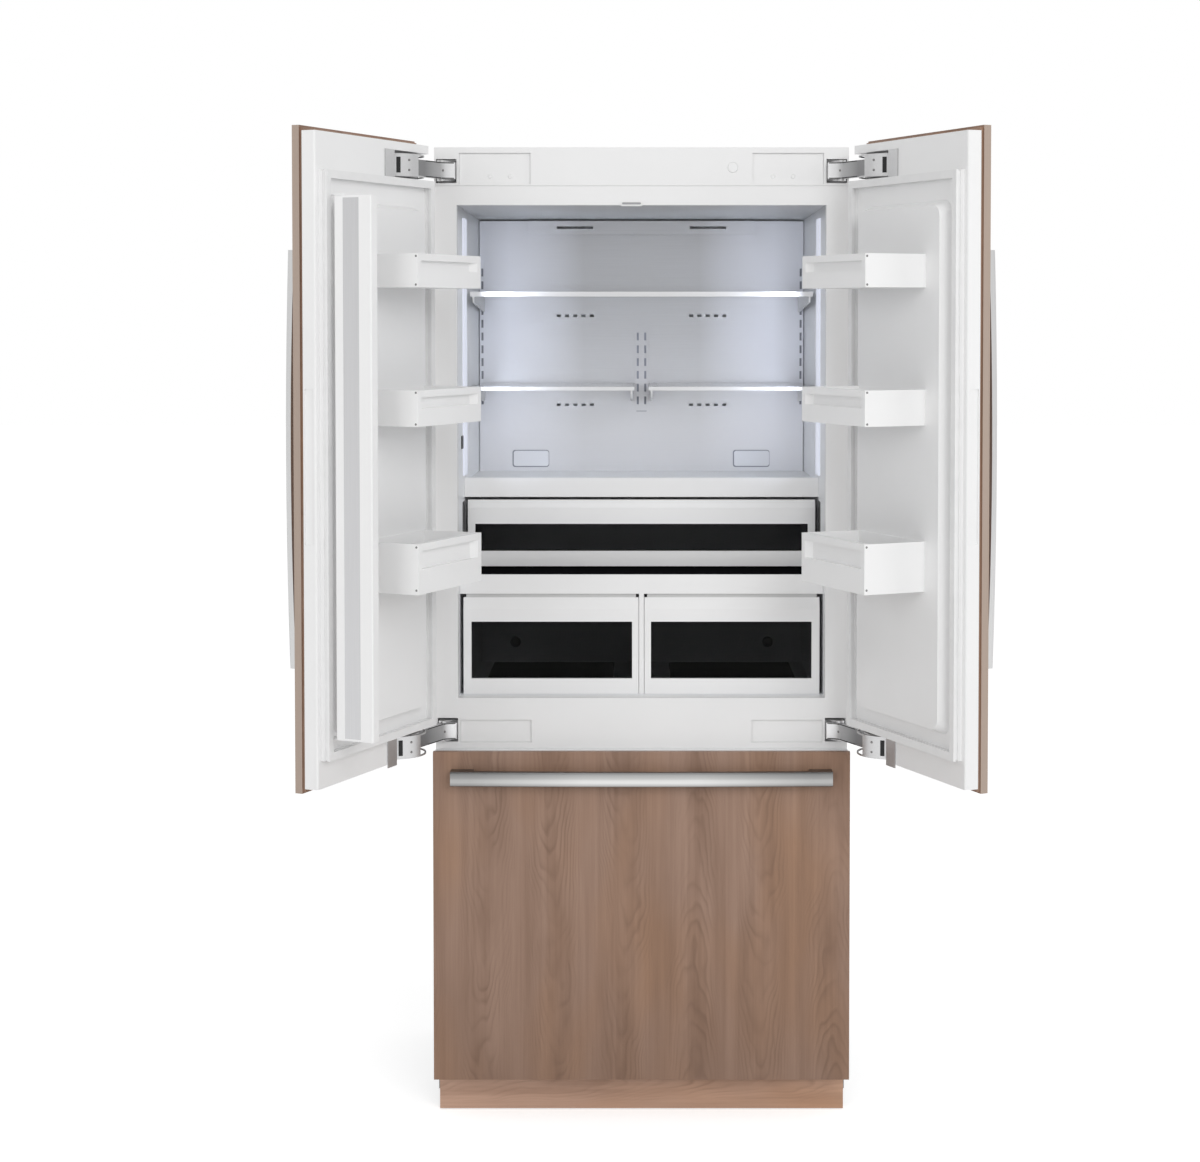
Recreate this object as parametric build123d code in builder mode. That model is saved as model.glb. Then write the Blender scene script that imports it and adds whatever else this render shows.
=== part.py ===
from build123d import *
from math import cos, radians, sin
import os

# A 36 inch built-in refrigerator: two doors above, a freezer drawer below, panels fitted.
# Millimetres. The origin is on the floor, midway along the front face of the cabinet frame.
# X runs to the right, Y back into the cabinet and Z up. The doors stand open, the drawers are in.

# Cabinet
WIDTH = 908
HALF = WIDTH / 2
HEIGHT = 2134
DEPTH = 558
STEEL = 2
FACE_DEPTH = 30
BOX_BOTTOM = 97
HAT_RISE = 14
BOX_TOP = HEIGHT - HAT_RISE
STILE = 49
OPENING_HALF = HALF - STILE
FREEZER_FLOOR = 130
FREEZER_CEILING = 790
FRIDGE_FLOOR = 922.5
CEILING_DROP = 126
FRIDGE_CEILING = HEIGHT - CEILING_DROP
FASCIA_HEIGHT = 84
FASCIA_BOTTOM = HEIGHT - FASCIA_HEIGHT
FASCIA_SEAM = 0.5
CONTROL_SPACE_DEPTH = 40

# Liners
LINER = 3
BACK_FOAM = 38
LINER_BACK = DEPTH - BACK_FOAM
WALL_TAPER = 11
CEILING_FALL = 10
CORNER_RADIUS = 24
STEP_DEPTH = 175
STEP_FRONT = LINER_BACK - STEP_DEPTH
STEP_TOP = 335
STEP_WALL = 37

# Clearances
SLIP = 0.3
GLIDE = 0.4
PIN_SLACK = 0.05
REVEAL = 1.5

# Doors, in their own frame: u from the hinge edge, v from the back of the wood towards the food
DOOR_OPEN = 114
DOOR_SETBACK = 49.5
DOOR_GAP = 1.5
DOOR_WIDTH = HALF - DOOR_GAP
WOOD = 22.5
BACKING = 6.5
BACKING_INSET = 4
DOOR_BOTTOM = 820
DOOR_RISE = 5.5
DOOR_TOP = HEIGHT + DOOR_RISE
SHELL = 30
SHELL_INSET = 2
SHELL_MARGIN_BOTTOM = 10
SHELL_MARGIN_TOP = 11
EDGE_RECESS_LEVELS = (1315, 1621)
EDGE_RECESS_WIDTH = 20
EDGE_RECESS = 3
LINER_PLATE = 4
LINER_HINGE_EDGE = 12
LINER_EDGE_MARGIN = 12.5
LINER_FREE_EDGE = DOOR_WIDTH - LINER_EDGE_MARGIN
LINER_BOTTOM = 886
DOOR_LINER_DROP = 82
LINER_TOP = HEIGHT - DOOR_LINER_DROP
GASKET_WIDTH = 16
GASKET_NECK = 4
GASKET_STEPS = 3
PLATEAU = 24
PLATEAU_HINGE_EDGE = 62
PLATEAU_EDGE_MARGIN = 50.5
PLATEAU_FREE_EDGE = DOOR_WIDTH - PLATEAU_EDGE_MARGIN
PLATEAU_BOTTOM = 930
PLATEAU_DROP = 14
PLATEAU_TOP = FRIDGE_CEILING - PLATEAU_DROP
PLATEAU_SLOPE = 9
VIRTUAL_AXIS_OUT = 26.5
VIRTUAL_AXIS_X = HALF + VIRTUAL_AXIS_OUT
VIRTUAL_AXIS_Y = 60.5

# Door hinges
LOWER_HINGE = 852
UPPER_HINGE_DROP = 52
HINGE_HEIGHTS = (LOWER_HINGE, HEIGHT - UPPER_HINGE_DROP)
BRACKET_PIN_IN = 16.6
BRACKET_PIN_X = HALF - BRACKET_PIN_IN
BRACKET_PIN_Y = -10.7
ARM_LENGTH = 107.5
ARM_ANGLE = 114.6
ARM_HEIGHT = 36
ARM_TAIL = 28
ARM_TAIL_RADIUS = 3
ARM_BOSS_RADIUS = 8
ARM_ELBOW = 28
PIN_RADIUS = 4
TIP_RADIUS = 3.5
EAR = 4
EAR_RADIUS = 9
EAR_GAP = 0.5
POCKET_HALF = 29
POCKET_LENGTH = 187
POCKET_SKIN = 1.5
GUIDE_CENTRE_U = 66.7
GUIDE_CENTRE_V = -23.2
GUIDE_RADIUS = 58.9
GUIDE_SLACK = 2.5
GUIDE_RIM = 3
GUIDE_PLATE = 3
GUIDE_LEVEL = 20.8
GUIDE_START = 29.9
GUIDE_END = 148.2
HOUSING_BACK = 1
HOUSING_RISER = 150
COVER_START = 25
COVER_END = 85
NOTCH_MARGIN = 4
NOTCH_OUTER = HALF - NOTCH_MARGIN
NOTCH_HALF = 26.3
COVER_LENGTH = 156
COVER_MARGIN = 6
COVER_OUTER = OPENING_HALF - COVER_MARGIN
COVER_INNER = COVER_OUTER - COVER_LENGTH
COVER_DEPTH = 6
LOWER_COVER_LEVELS = (824, 874)
COVER_HEIGHT = 67.5
COVER_RISE = 4
UPPER_COVER_LEVELS = (FASCIA_BOTTOM + COVER_RISE, FASCIA_BOTTOM + COVER_RISE + COVER_HEIGHT)
COVER_SCREW_INSETS = (111, 67)
COVER_SCREWS = tuple(COVER_OUTER - inset for inset in COVER_SCREW_INSETS)
COVER_SCREW_RISE = 21
COVER_SCREW_LEVEL = FASCIA_BOTTOM + COVER_SCREW_RISE
COVER_SCREW_RADIUS = 5
COVER_SCREW_TAPER = 30

# Door bins: bottom and top of each one
BIN_FLOOR = 1212
BIN_HEIGHTS = (101, 72, 67)
TOP_BIN_DROP = 105
BIN_SPREAD = 0.533
top_bin = PLATEAU_TOP - TOP_BIN_DROP - BIN_HEIGHTS[2]
middle_bin = BIN_FLOOR + BIN_HEIGHTS[0] + BIN_SPREAD * (top_bin - BIN_FLOOR - sum(BIN_HEIGHTS[:2]))
bin_floors = (BIN_FLOOR, middle_bin, top_bin)
BIN_LEVELS = tuple((floor, floor + height) for floor, height in zip(bin_floors, BIN_HEIGHTS))
BIN_START = 80
BIN_MARGIN = 60
BIN_END = PLATEAU_FREE_EDGE - BIN_MARGIN
BIN_DEPTH = 138
BIN_WALL = 3
BIN_FRONT = 14
BIN_POCKET = 11
BIN_POCKET_MARGIN = 14
BIN_POCKET_SLOPE = 16

# Handles
HANDLE_WIDTH = 32
HANDLE_THICKNESS = 13.5
HANDLE_REACH = 32
HANDLE_BOW = 7.5
HANDLE_POST = 50
HANDLE_ROUND = 5
DOOR_HANDLE_LENGTH = 834
DOOR_HANDLE_IN = 46
DOOR_HANDLE_U = DOOR_WIDTH - DOOR_HANDLE_IN
DOOR_HANDLE_LEVEL = 1479
FREEZER_HANDLE_MARGIN = 40
FREEZER_HANDLE_LENGTH = WIDTH - 2 * FREEZER_HANDLE_MARGIN
FREEZER_HANDLE_LEVEL = 763.5

# Mullion, folded against the left door
MULLION_PIVOT_IN = 34.2
MULLION_PIVOT_U = DOOR_WIDTH - MULLION_PIVOT_IN
MULLION_PIVOT_V = 71.3
MULLION_WIDTH = 84
MULLION_THICKNESS = 24.7
MULLION_HEEL = 3.3
MULLION_EDGE = 6.3
MULLION_BOTTOM = 931
MULLION_DROP = 8
MULLION_TOP = FRIDGE_CEILING - MULLION_DROP
MULLION_ROUND = 4
MULLION_STRIP_START = 20
MULLION_STRIP_WIDTH = 36
MULLION_STRIP = 0.6
MULLION_EAR = 3
MULLION_EAR_RADIUS = 6.5
MULLION_EAR_FOOT = 16
MULLION_AXLE_RADIUS = 3
GUIDE_BLOCK_LEFT = -45
GUIDE_BLOCK_RIGHT = 1
GUIDE_BLOCK_RISE = 6
GUIDE_BLOCK_TOP = FRIDGE_CEILING + GUIDE_BLOCK_RISE
GUIDE_BLOCK_HANG = 2
GUIDE_BLOCK_BOTTOM = FRIDGE_CEILING - GUIDE_BLOCK_HANG

# Freezer front
FREEZER_PANEL_BOTTOM = 96
FREEZER_PANEL_TOP = 817
FREEZER_SHELL_MARGIN = 3
FREEZER_LINER_MARGIN = 12
FREEZER_LINER_HALF = HALF - FREEZER_LINER_MARGIN
FREEZER_LINER_BOTTOM = 104
FREEZER_LINER_TOP = 812
FREEZER_PLATEAU_MARGIN = 13
FREEZER_PLATEAU_HALF = OPENING_HALF - FREEZER_PLATEAU_MARGIN
FREEZER_PLATEAU_BOTTOM = 146
FREEZER_PLATEAU_TOP = 776

# Fridge interior
UPPER_FRONT = 155
LOWER_FRONT = 50
PANEL_GAP = 20
PANEL_FACE = LINER_BACK - PANEL_GAP
DUCT_MARGIN = 13
DUCT_HALF = OPENING_HALF - DUCT_MARGIN
DUCT_BOTTOM = 1200
DUCT_DROP = 14
DUCT_TOP = FRIDGE_CEILING - DUCT_DROP
DUCT_BOX_HALF = 273
DUCT_BOX_HEIGHT = 33
DUCT_BOX_BOTTOM = DUCT_TOP - DUCT_BOX_HEIGHT
DUCT_BOX_PROUD = 14
VENT_INNER = 117
VENT_OUTER = 204
VENT_DROP = 54.5
VENT_SLOTS = 5
VENT_SLOT = 10
VENT_PITCH = 20
VENT_HEIGHT = 6
TOP_VENT_DROP = 16
TOP_VENT_LEVEL = DUCT_TOP - TOP_VENT_DROP
FRAME_INNER = 225
FRAME_OUTER = 310
DECK_TOP = 1388.6
FRAME_RISE = 12.4
FRAME_BOTTOM = DECK_TOP + FRAME_RISE
FRAME_HEIGHT = 37
FRAME_TOP = FRAME_BOTTOM + FRAME_HEIGHT
FRAME_RIB = 3
FRAME_PROUD = 2
RAIL_PROUD = 2.5
CENTRE_RAIL_HALF = 16
CENTRE_RAIL_DROP = 69
CENTRE_RAIL_RISE = 136
SIDE_RAIL_MARGIN = 14
SIDE_RAIL_WIDTH = 11
SIDE_RAIL_OUTER = OPENING_HALF - SIDE_RAIL_MARGIN
SIDE_RAIL_INNER = SIDE_RAIL_OUTER - SIDE_RAIL_WIDTH
SIDE_RAIL_DROP = 74
SIDE_RAIL_RISE = 80
RAIL_SLOT_WIDTH = 5
RAIL_SLOT_HEIGHT = 19
RAIL_SLOT_PITCH = 31
RAIL_SLOT_OFFSET = 9
SHELF_MARGIN = 17
SHELF_HALF = OPENING_HALF - SHELF_MARGIN
TOP_ROOM = 188

SHELF_TRIM = 11
LOWER_SHELF_TRIM = 8
SHELF_TRIM_DEPTH = 15
SHELF_GLASS = 4
SHELF_BEDDING = 1
SHELF_ARM = 4
SHELF_ARM_INSET = 5
SHELF_ARM_DROP = 20
SHELF_ARM_TIP = 10
SHELF_LEDGE = 22
SHELF_LEDGE_THICKNESS = 2
SHELF_CENTRE_GAP = 16
STRIP_FRONT = 123
STRIP_BACK = 190
STRIP_RISE = 16.4
STRIP_BOTTOM = DECK_TOP + STRIP_RISE
STRIP_DROP = 23
STRIP_TOP = FRIDGE_CEILING - STRIP_DROP
STRIP_THICKNESS = 3

# Deck over the wide drawer
DECK_LIP_RISE = 9.4
DECK_LIP_TOP = DECK_TOP + DECK_LIP_RISE
DECK_LIP_DROP = 34.1
DECK_LIP_BOTTOM = DECK_TOP - DECK_LIP_DROP
DECK_LIP = 8
DECK_PLATE = 5

# Wide drawer
WIDE_MARGIN = 10.5
WIDE_HALF = OPENING_HALF - WIDE_MARGIN
WIDE_BOTTOM = 1196.5
WIDE_GAP = 6.8
WIDE_TOP = DECK_LIP_BOTTOM - WIDE_GAP
WIDE_GRIP_HEIGHT = 17.7
WIDE_GRIP = WIDE_TOP - WIDE_GRIP_HEIGHT
WIDE_FRAME = 16.5
WIDE_WINDOW_HALF = WIDE_HALF - WIDE_FRAME
WIDE_WINDOW_BOTTOM = 1231
WIDE_WINDOW_DROP = 37
WIDE_WINDOW_TOP = WIDE_GRIP - WIDE_WINDOW_DROP
WIDE_BOX_INSET = 7.5
WIDE_BOX_HALF = WIDE_HALF - WIDE_BOX_INSET
WIDE_BOX_DROP = 25.7
WIDE_BOX_TOP = WIDE_TOP - WIDE_BOX_DROP
FRONT_THICKNESS = 12
GRIP_SLOPE = 5
DRAWER_WALL = 3
DRAWER_BACK_GAP = 14
DRAWER_BACK = PANEL_FACE - DRAWER_BACK_GAP
PANE = 4
PANE_REBATE = 5

# Divider, glass plate and crispers
DIVIDER_BOTTOM = 1147
DIVIDER_TOP = 1190
DIVIDER_FRONT_BAR = 14
DIVIDER_GAP = 1
DIVIDER_HALF = OPENING_HALF - DIVIDER_GAP
RUNNER_WIDTH = 20.5
RUNNER_GAP = 1
RUNNER_OUTER = WIDE_HALF - RUNNER_GAP
RUNNER_INNER = RUNNER_OUTER - RUNNER_WIDTH
RUNNER_TOP = 1196.2
GLASS_TOP = 1191.5
GLASS_FRONT = 54
GLASS_THICKNESS = 4
POST_HALF = 5.5
CRISPER_INNER = 6.5
CRISPER_GAP = 8.5
CRISPER_OUTER = OPENING_HALF - CRISPER_GAP
CRISPER_HEADROOM = 8.5
CRISPER_TOP = DIVIDER_BOTTOM - CRISPER_HEADROOM
CRISPER_GRIP_DROP = 26.5
CRISPER_GRIP = CRISPER_TOP - CRISPER_GRIP_DROP
CRISPER_WINDOW_INNER = 21
CRISPER_FRAME = 17.5
CRISPER_WINDOW_OUTER = CRISPER_OUTER - CRISPER_FRAME
CRISPER_WINDOW_BOTTOM = 957.4
CRISPER_WINDOW_TOP = 1084.6
CRISPER_BOX_INNER = 9
CRISPER_BOX_INSET = 6.5
CRISPER_BOX_OUTER = CRISPER_OUTER - CRISPER_BOX_INSET
CRISPER_BOX_DROP = 30.5
CRISPER_BOX_TOP = CRISPER_TOP - CRISPER_BOX_DROP

# Power button
BUTTON_X = 200
BUTTON_RISE = 40
BUTTON_LEVEL = FASCIA_BOTTOM + BUTTON_RISE
BUTTON_RADIUS = 11
BUTTON_PROUD = 1.2
BUTTON_LENGTH = 13
BUTTON_TRAVEL = 2
SWITCH_WIDTH = 14
BOARD_HALF_LENGTH = 80
BOARD_FRONT = 55
BOARD = 2
BOARD_RISE = 14
BOARD_BOTTOM = FASCIA_BOTTOM + BOARD_RISE
BOARD_HEIGHT = 44
BOARD_TOP = BOARD_BOTTOM + BOARD_HEIGHT
SPACER = 6

# Freezer slides and baskets
SLIDE_LEVEL = 500
SLIDE_HEIGHT = 40
SLIDE_FRONT = 36
SLIDE_END_GAP = 74
SLIDE_LENGTH = LINER_BACK - SLIDE_FRONT - SLIDE_END_GAP
SLIDE_DEPTH = 16
SLIDE_GAUGE = 2
SLIDE_GAP = 0.4
BASKET_BOTTOM = 152
BASKET_WALL = 3
BASKET_FRONT = 10
BASKET_END_GAP = 20
BASKET_BACK = STEP_FRONT - BASKET_END_GAP
BASKET_SLOTS = 9
BASKET_SLOT_WIDTH = 10
BASKET_SLOT_HEIGHT = 200
TRAY_HEIGHT = 90
TRAY_FRONT = 14
TRAY_END_GAP = 41
TRAY_BACK = BASKET_BACK - TRAY_END_GAP
FREEZER_DUCT_DEPTH = 64
DUCT_FRONT = LINER_BACK - FREEZER_DUCT_DEPTH
DUCT_WALL = 3

# Machine compartment and base
MACHINE_TOP = 302
BASE_FLANGE_BOTTOM = 40
COMPRESSOR_X = -250
COMPRESSOR_RADIUS = 76
COMPRESSOR_PLATE = (168, 144)
COMPRESSOR_STUDS = (130, 106)
COMPRESSOR_HEIGHT = 190
COMPRESSOR_SHOULDERS = ((20, 25), (14, 60))
COMPRESSOR_FOOT = 12
CONDENSER_START = 70
CONDENSER_LENGTH = 280
CONDENSER_GAP = 22
CONDENSER_DEPTH = 126
CONDENSER_HEIGHT = 170
CONDENSER_FINS = 14
FIN = 1.2
TUBE_RADIUS = 5
FAN_X = -70
FAN_RADIUS = 68
FAN_BLADES = 5
BLADE_PITCH = 30
FAN_WALL = 3
HUB_RADIUS = 16
SHAFT_RADIUS = 3
MOTOR_RADIUS = 22
MOTOR_LENGTH = 40
EVAPORATOR_HALF = 280
EVAPORATOR_BOTTOM = 380
EVAPORATOR_TOP = 580
EVAPORATOR_FINS = 16
EVAPORATOR_FAN_LEVEL = 690
EVAPORATOR_FAN_RADIUS = 56
FOOT_INSET = 44
FOOT_X = HALF - FOOT_INSET
FOOT_FRONT = 58
FOOT_END_GAP = 38
FOOT_BACK = DEPTH - FOOT_END_GAP
FOOT_RADIUS = 24
FOOT_HEIGHT = 12
FOOT_TAPER = 10
STUD_RADIUS = 6
STUD_TOP = 78
FOOT_PLATE = 4
TOE_FRONT = 12
TOE_MARGIN = 5.5
TOE_HALF = HALF - TOE_MARGIN
TOE_CLEARANCE = 2
GLAND_X = 300
GLAND_LEVEL = 180
GLAND_RADIUS = 14
GLAND_BORE = 5
GLAND_LENGTH = 16
BRACKET_X = 300
BRACKET_LENGTH = 100
BRACKET_DEPTH = 40
BRACKET_HOLE_PITCH = 60
BRACKET_HOLE_RADIUS = 3

# Worked out from the sizes above
BACK_INSIDE = DEPTH - STEEL
SIDE_INSIDE = HALF - STEEL
SHELL_BACK = SHELL + LINER_PLATE
GASKET_TOP = DOOR_SETBACK - SLIP
LINER_OUTER = OPENING_HALF + LINER
CONTROL_BACK = FACE_DEPTH + CONTROL_SPACE_DEPTH
MACHINE_FRONT = STEP_FRONT + LINER + STEP_WALL
shelf_pitch = (FRIDGE_CEILING - TOP_ROOM - DECK_TOP) / 2
LOWER_SHELF_TOP = DECK_TOP + shelf_pitch
UPPER_SHELF_TOP = LOWER_SHELF_TOP + shelf_pitch
VENT_LEVELS = (UPPER_SHELF_TOP - VENT_DROP, LOWER_SHELF_TOP - VENT_DROP)
CENTRE_RAIL_BOTTOM = LOWER_SHELF_TOP - CENTRE_RAIL_DROP
CENTRE_RAIL_TOP = LOWER_SHELF_TOP + CENTRE_RAIL_RISE
SIDE_RAIL_BOTTOM = LOWER_SHELF_TOP - SIDE_RAIL_DROP
SIDE_RAIL_TOP = UPPER_SHELF_TOP + SIDE_RAIL_RISE
CONDENSER_FRONT = MACHINE_FRONT + STEEL + CONDENSER_GAP
MULLION_V = MULLION_PIVOT_V - MULLION_EDGE
MULLION_U = MULLION_PIVOT_U - MULLION_HEEL
FREEZER_FRONT = -DOOR_SETBACK - WOOD
FREEZER_SHELL_FACE = SHELL - DOOR_SETBACK

# Left door: its corner on the hinge side swings about the virtual axis
closed_corner = (VIRTUAL_AXIS_X - HALF, VIRTUAL_AXIS_Y - DOOR_SETBACK)
swing = radians(DOOR_OPEN)
corner_x = -VIRTUAL_AXIS_X + closed_corner[0] * cos(swing) + closed_corner[1] * sin(swing)
corner_y = -VIRTUAL_AXIS_Y - closed_corner[0] * sin(swing) + closed_corner[1] * cos(swing)
LEFT_DOOR = Plane(origin=(corner_x, corner_y, 0), x_dir=(cos(swing), -sin(swing), 0), z_dir=(0, 0, 1))


def slab(x_span, y_span, z_span, mode=Mode.ADD):
    """Add or take a block between three pairs of limits."""
    spans = (x_span, y_span, z_span)
    with Locations(tuple((low + high) / 2 for low, high in spans)):
        Box(*(high - low for low, high in spans), mode=mode)


def both(low, high):
    """The same span to the left and to the right of the middle plane."""
    return ((-high, -low), (low, high))


def at_depth(y):
    """A plane that faces the front at depth y, with X across and Z up."""
    return Plane.XZ.offset(-y)


def draw(x_span, z_span, radius=0, mode=Mode.ADD):
    """Draw a rectangle between two pairs of limits, with round corners if a radius is given."""
    width, height = x_span[1] - x_span[0], z_span[1] - z_span[0]
    with Locations(((x_span[0] + x_span[1]) / 2, (z_span[0] + z_span[1]) / 2)):
        if radius:
            RectangleRounded(width, height, radius, mode=mode)
        else:
            Rectangle(width, height, mode=mode)


def wall_half(y):
    """Half the width between the side walls of the fridge liner at depth y."""
    return OPENING_HALF - WALL_TAPER * (y - FACE_DEPTH) / (LINER_BACK - FACE_DEPTH)


def blocks(*spans):
    """Separate blocks that touch but stay solids of their own."""
    pieces = []
    for x_span, y_span, z_span in spans:
        with BuildPart() as block:
            slab(x_span, y_span, z_span)
        pieces.append(block.part)
    return pieces


# Outer steel sheets, with two anti-tip brackets on top near the back
steel_left, steel_right = both(SIDE_INSIDE, HALF)
between_sides = (-SIDE_INSIDE, SIDE_INSIDE)
casing_sheets = blocks(
    (steel_left, (FACE_DEPTH, DEPTH), (BOX_BOTTOM, BOX_TOP)),
    (steel_right, (FACE_DEPTH, DEPTH), (BOX_BOTTOM, BOX_TOP)),
    (between_sides, (FACE_DEPTH, DEPTH), (BOX_TOP - STEEL, BOX_TOP)),
    (between_sides, (BACK_INSIDE, DEPTH), (MACHINE_TOP, BOX_TOP - STEEL)),
)
with BuildPart() as anti_tip_brackets:
    for side in (-BRACKET_X, BRACKET_X):
        with BuildSketch(Plane.YZ.offset(side - BRACKET_LENGTH / 2)):
            draw((BACK_INSIDE - BRACKET_DEPTH, BACK_INSIDE), (BOX_TOP, HEIGHT))
            draw(
                (BACK_INSIDE - BRACKET_DEPTH + STEEL, BACK_INSIDE - STEEL),
                (BOX_TOP, HEIGHT - STEEL),
                mode=Mode.SUBTRACT,
            )
        extrude(amount=BRACKET_LENGTH)
        with Locations((side, BACK_INSIDE - BRACKET_DEPTH / 2, HEIGHT)):
            with GridLocations(BRACKET_HOLE_PITCH, BRACKET_DEPTH, 2, 1):
                Hole(BRACKET_HOLE_RADIUS, depth=2 * STEEL)

# Foam between casing and liners, in blocks
foam_left, foam_right = both(LINER_OUTER, SIDE_INSIDE)
foam_middle = (-LINER_OUTER, LINER_OUTER)
behind_liner = (LINER_BACK + LINER, BACK_INSIDE)
full_depth = (FACE_DEPTH, BACK_INSIDE)
insulation_blocks = blocks(
    (foam_left, full_depth, (BOX_BOTTOM, BOX_TOP - STEEL)),
    (foam_right, full_depth, (BOX_BOTTOM, BOX_TOP - STEEL)),
    (foam_middle, full_depth, (FRIDGE_CEILING + LINER, FASCIA_BOTTOM + LINER)),
    (foam_middle, (CONTROL_BACK, BACK_INSIDE), (FASCIA_BOTTOM + LINER, BOX_TOP - STEEL)),
    (foam_middle, behind_liner, (FRIDGE_FLOOR - LINER, FRIDGE_CEILING + LINER)),
    (foam_middle, full_depth, (FREEZER_CEILING + LINER, FRIDGE_FLOOR - LINER)),
    (foam_middle, behind_liner, (STEP_TOP - LINER, FREEZER_CEILING + LINER)),
    (foam_middle, (MACHINE_FRONT, BACK_INSIDE), (MACHINE_TOP, STEP_TOP - LINER)),
    (foam_middle, (STEP_FRONT + LINER, MACHINE_FRONT), (BOX_BOTTOM, STEP_TOP - LINER)),
    (foam_middle, (FACE_DEPTH, STEP_FRONT + LINER), (BOX_BOTTOM, FREEZER_FLOOR - LINER)),
)

# Liners: the fridge cavity narrows to the back, its ceiling falls and its rear corners are round
with BuildPart() as cavity:
    with BuildSketch(Plane.XY.offset(FRIDGE_FLOOR)) as cavity_plan:
        back_half = OPENING_HALF - WALL_TAPER
        with BuildLine():
            Polyline(
                (-OPENING_HALF, FACE_DEPTH),
                (OPENING_HALF, FACE_DEPTH),
                (back_half, LINER_BACK),
                (-back_half, LINER_BACK),
                close=True,
            )
        make_face()
        fillet(cavity_plan.vertices().group_by(Axis.Y)[-1], CORNER_RADIUS)
    extrude(amount=FRIDGE_CEILING - FRIDGE_FLOOR)
    with BuildSketch(Plane.YZ.offset(-OPENING_HALF)):
        with BuildLine():
            Polyline(
                (FACE_DEPTH, FRIDGE_CEILING),
                (LINER_BACK, FRIDGE_CEILING - CEILING_FALL),
                (LINER_BACK, FRIDGE_CEILING),
                close=True,
            )
        make_face()
    extrude(amount=2 * OPENING_HALF, mode=Mode.SUBTRACT)
with BuildPart() as fridge_liner:
    slab(
        (-LINER_OUTER, LINER_OUTER),
        (FACE_DEPTH, LINER_BACK + LINER),
        (FRIDGE_FLOOR - LINER, FRIDGE_CEILING + LINER),
    )
    add(cavity.part, mode=Mode.SUBTRACT)
with BuildPart() as freezer_liner:
    outer, inner = LINER_OUTER, OPENING_HALF
    slab((-outer, outer), (FACE_DEPTH, STEP_FRONT + LINER), (FREEZER_FLOOR - LINER, FREEZER_CEILING + LINER))
    slab((-outer, outer), (FACE_DEPTH, LINER_BACK + LINER), (STEP_TOP - LINER, FREEZER_CEILING + LINER))
    slab((-inner, inner), (FACE_DEPTH, STEP_FRONT), (FREEZER_FLOOR, FREEZER_CEILING), Mode.SUBTRACT)
    slab((-inner, inner), (FACE_DEPTH, LINER_BACK), (STEP_TOP, FREEZER_CEILING), Mode.SUBTRACT)

# Front frame round both openings
with BuildPart() as left_stile:
    slab((-HALF, -OPENING_HALF), (0, FACE_DEPTH), (BOX_BOTTOM, FASCIA_BOTTOM - FASCIA_SEAM))
    slab(
        (-NOTCH_OUTER, -OPENING_HALF),
        (0, FACE_DEPTH),
        (HINGE_HEIGHTS[0] - NOTCH_HALF, HINGE_HEIGHTS[0] + NOTCH_HALF),
        Mode.SUBTRACT,
    )
with BuildPart() as front_rails:
    rails = (
        (BOX_BOTTOM, FREEZER_FLOOR),
        (FREEZER_CEILING, FRIDGE_FLOOR),
        (FRIDGE_CEILING, FASCIA_BOTTOM - FASCIA_SEAM),
    )
    for rail in rails:
        slab((-OPENING_HALF, OPENING_HALF), (0, FACE_DEPTH), rail)
    for side in both(COVER_INNER - SLIP, COVER_OUTER + SLIP):
        slab(side, (0, COVER_DEPTH + STEEL), LOWER_COVER_LEVELS, Mode.SUBTRACT)
    slab(
        (GUIDE_BLOCK_LEFT, GUIDE_BLOCK_RIGHT),
        (0, FACE_DEPTH),
        (FRIDGE_CEILING, GUIDE_BLOCK_TOP),
        Mode.SUBTRACT,
    )
with BuildPart() as mullion_guide:
    slab(
        (GUIDE_BLOCK_LEFT + SLIP, GUIDE_BLOCK_RIGHT - SLIP),
        (REVEAL, FACE_DEPTH),
        (GUIDE_BLOCK_BOTTOM, GUIDE_BLOCK_TOP),
    )
with BuildPart() as upper_fascia:
    slab((-HALF, HALF), (0, FACE_DEPTH), (FASCIA_BOTTOM, HEIGHT))
    level = HINGE_HEIGHTS[1]
    for side in both(COVER_INNER - SLIP, COVER_OUTER + SLIP):
        slab(side, (0, COVER_DEPTH + STEEL), UPPER_COVER_LEVELS, Mode.SUBTRACT)
    for side in both(OPENING_HALF, NOTCH_OUTER):
        slab(side, (0, FACE_DEPTH), (level - NOTCH_HALF, level + NOTCH_HALF), Mode.SUBTRACT)
    with Locations(Plane(origin=(BUTTON_X, 0, BUTTON_LEVEL), z_dir=(0, -1, 0)).location):
        Hole(BUTTON_RADIUS + SLIP, depth=FACE_DEPTH)

# Recessed covers over the hinge screws
with BuildPart() as hinge_covers:
    for bottom, top in (LOWER_COVER_LEVELS, UPPER_COVER_LEVELS):
        for side in both(COVER_INNER, COVER_OUTER):
            slab(side, (COVER_DEPTH, COVER_DEPTH + STEEL), (bottom + SLIP, top - SLIP))
with BuildPart() as cover_caps:
    for inner, outer in both(*COVER_SCREWS):
        for x in (inner, outer):
            with BuildSketch(Plane(origin=(x, COVER_DEPTH, COVER_SCREW_LEVEL), z_dir=(0, -1, 0))):
                Circle(COVER_SCREW_RADIUS)
            extrude(amount=STEEL, taper=COVER_SCREW_TAPER)

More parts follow.
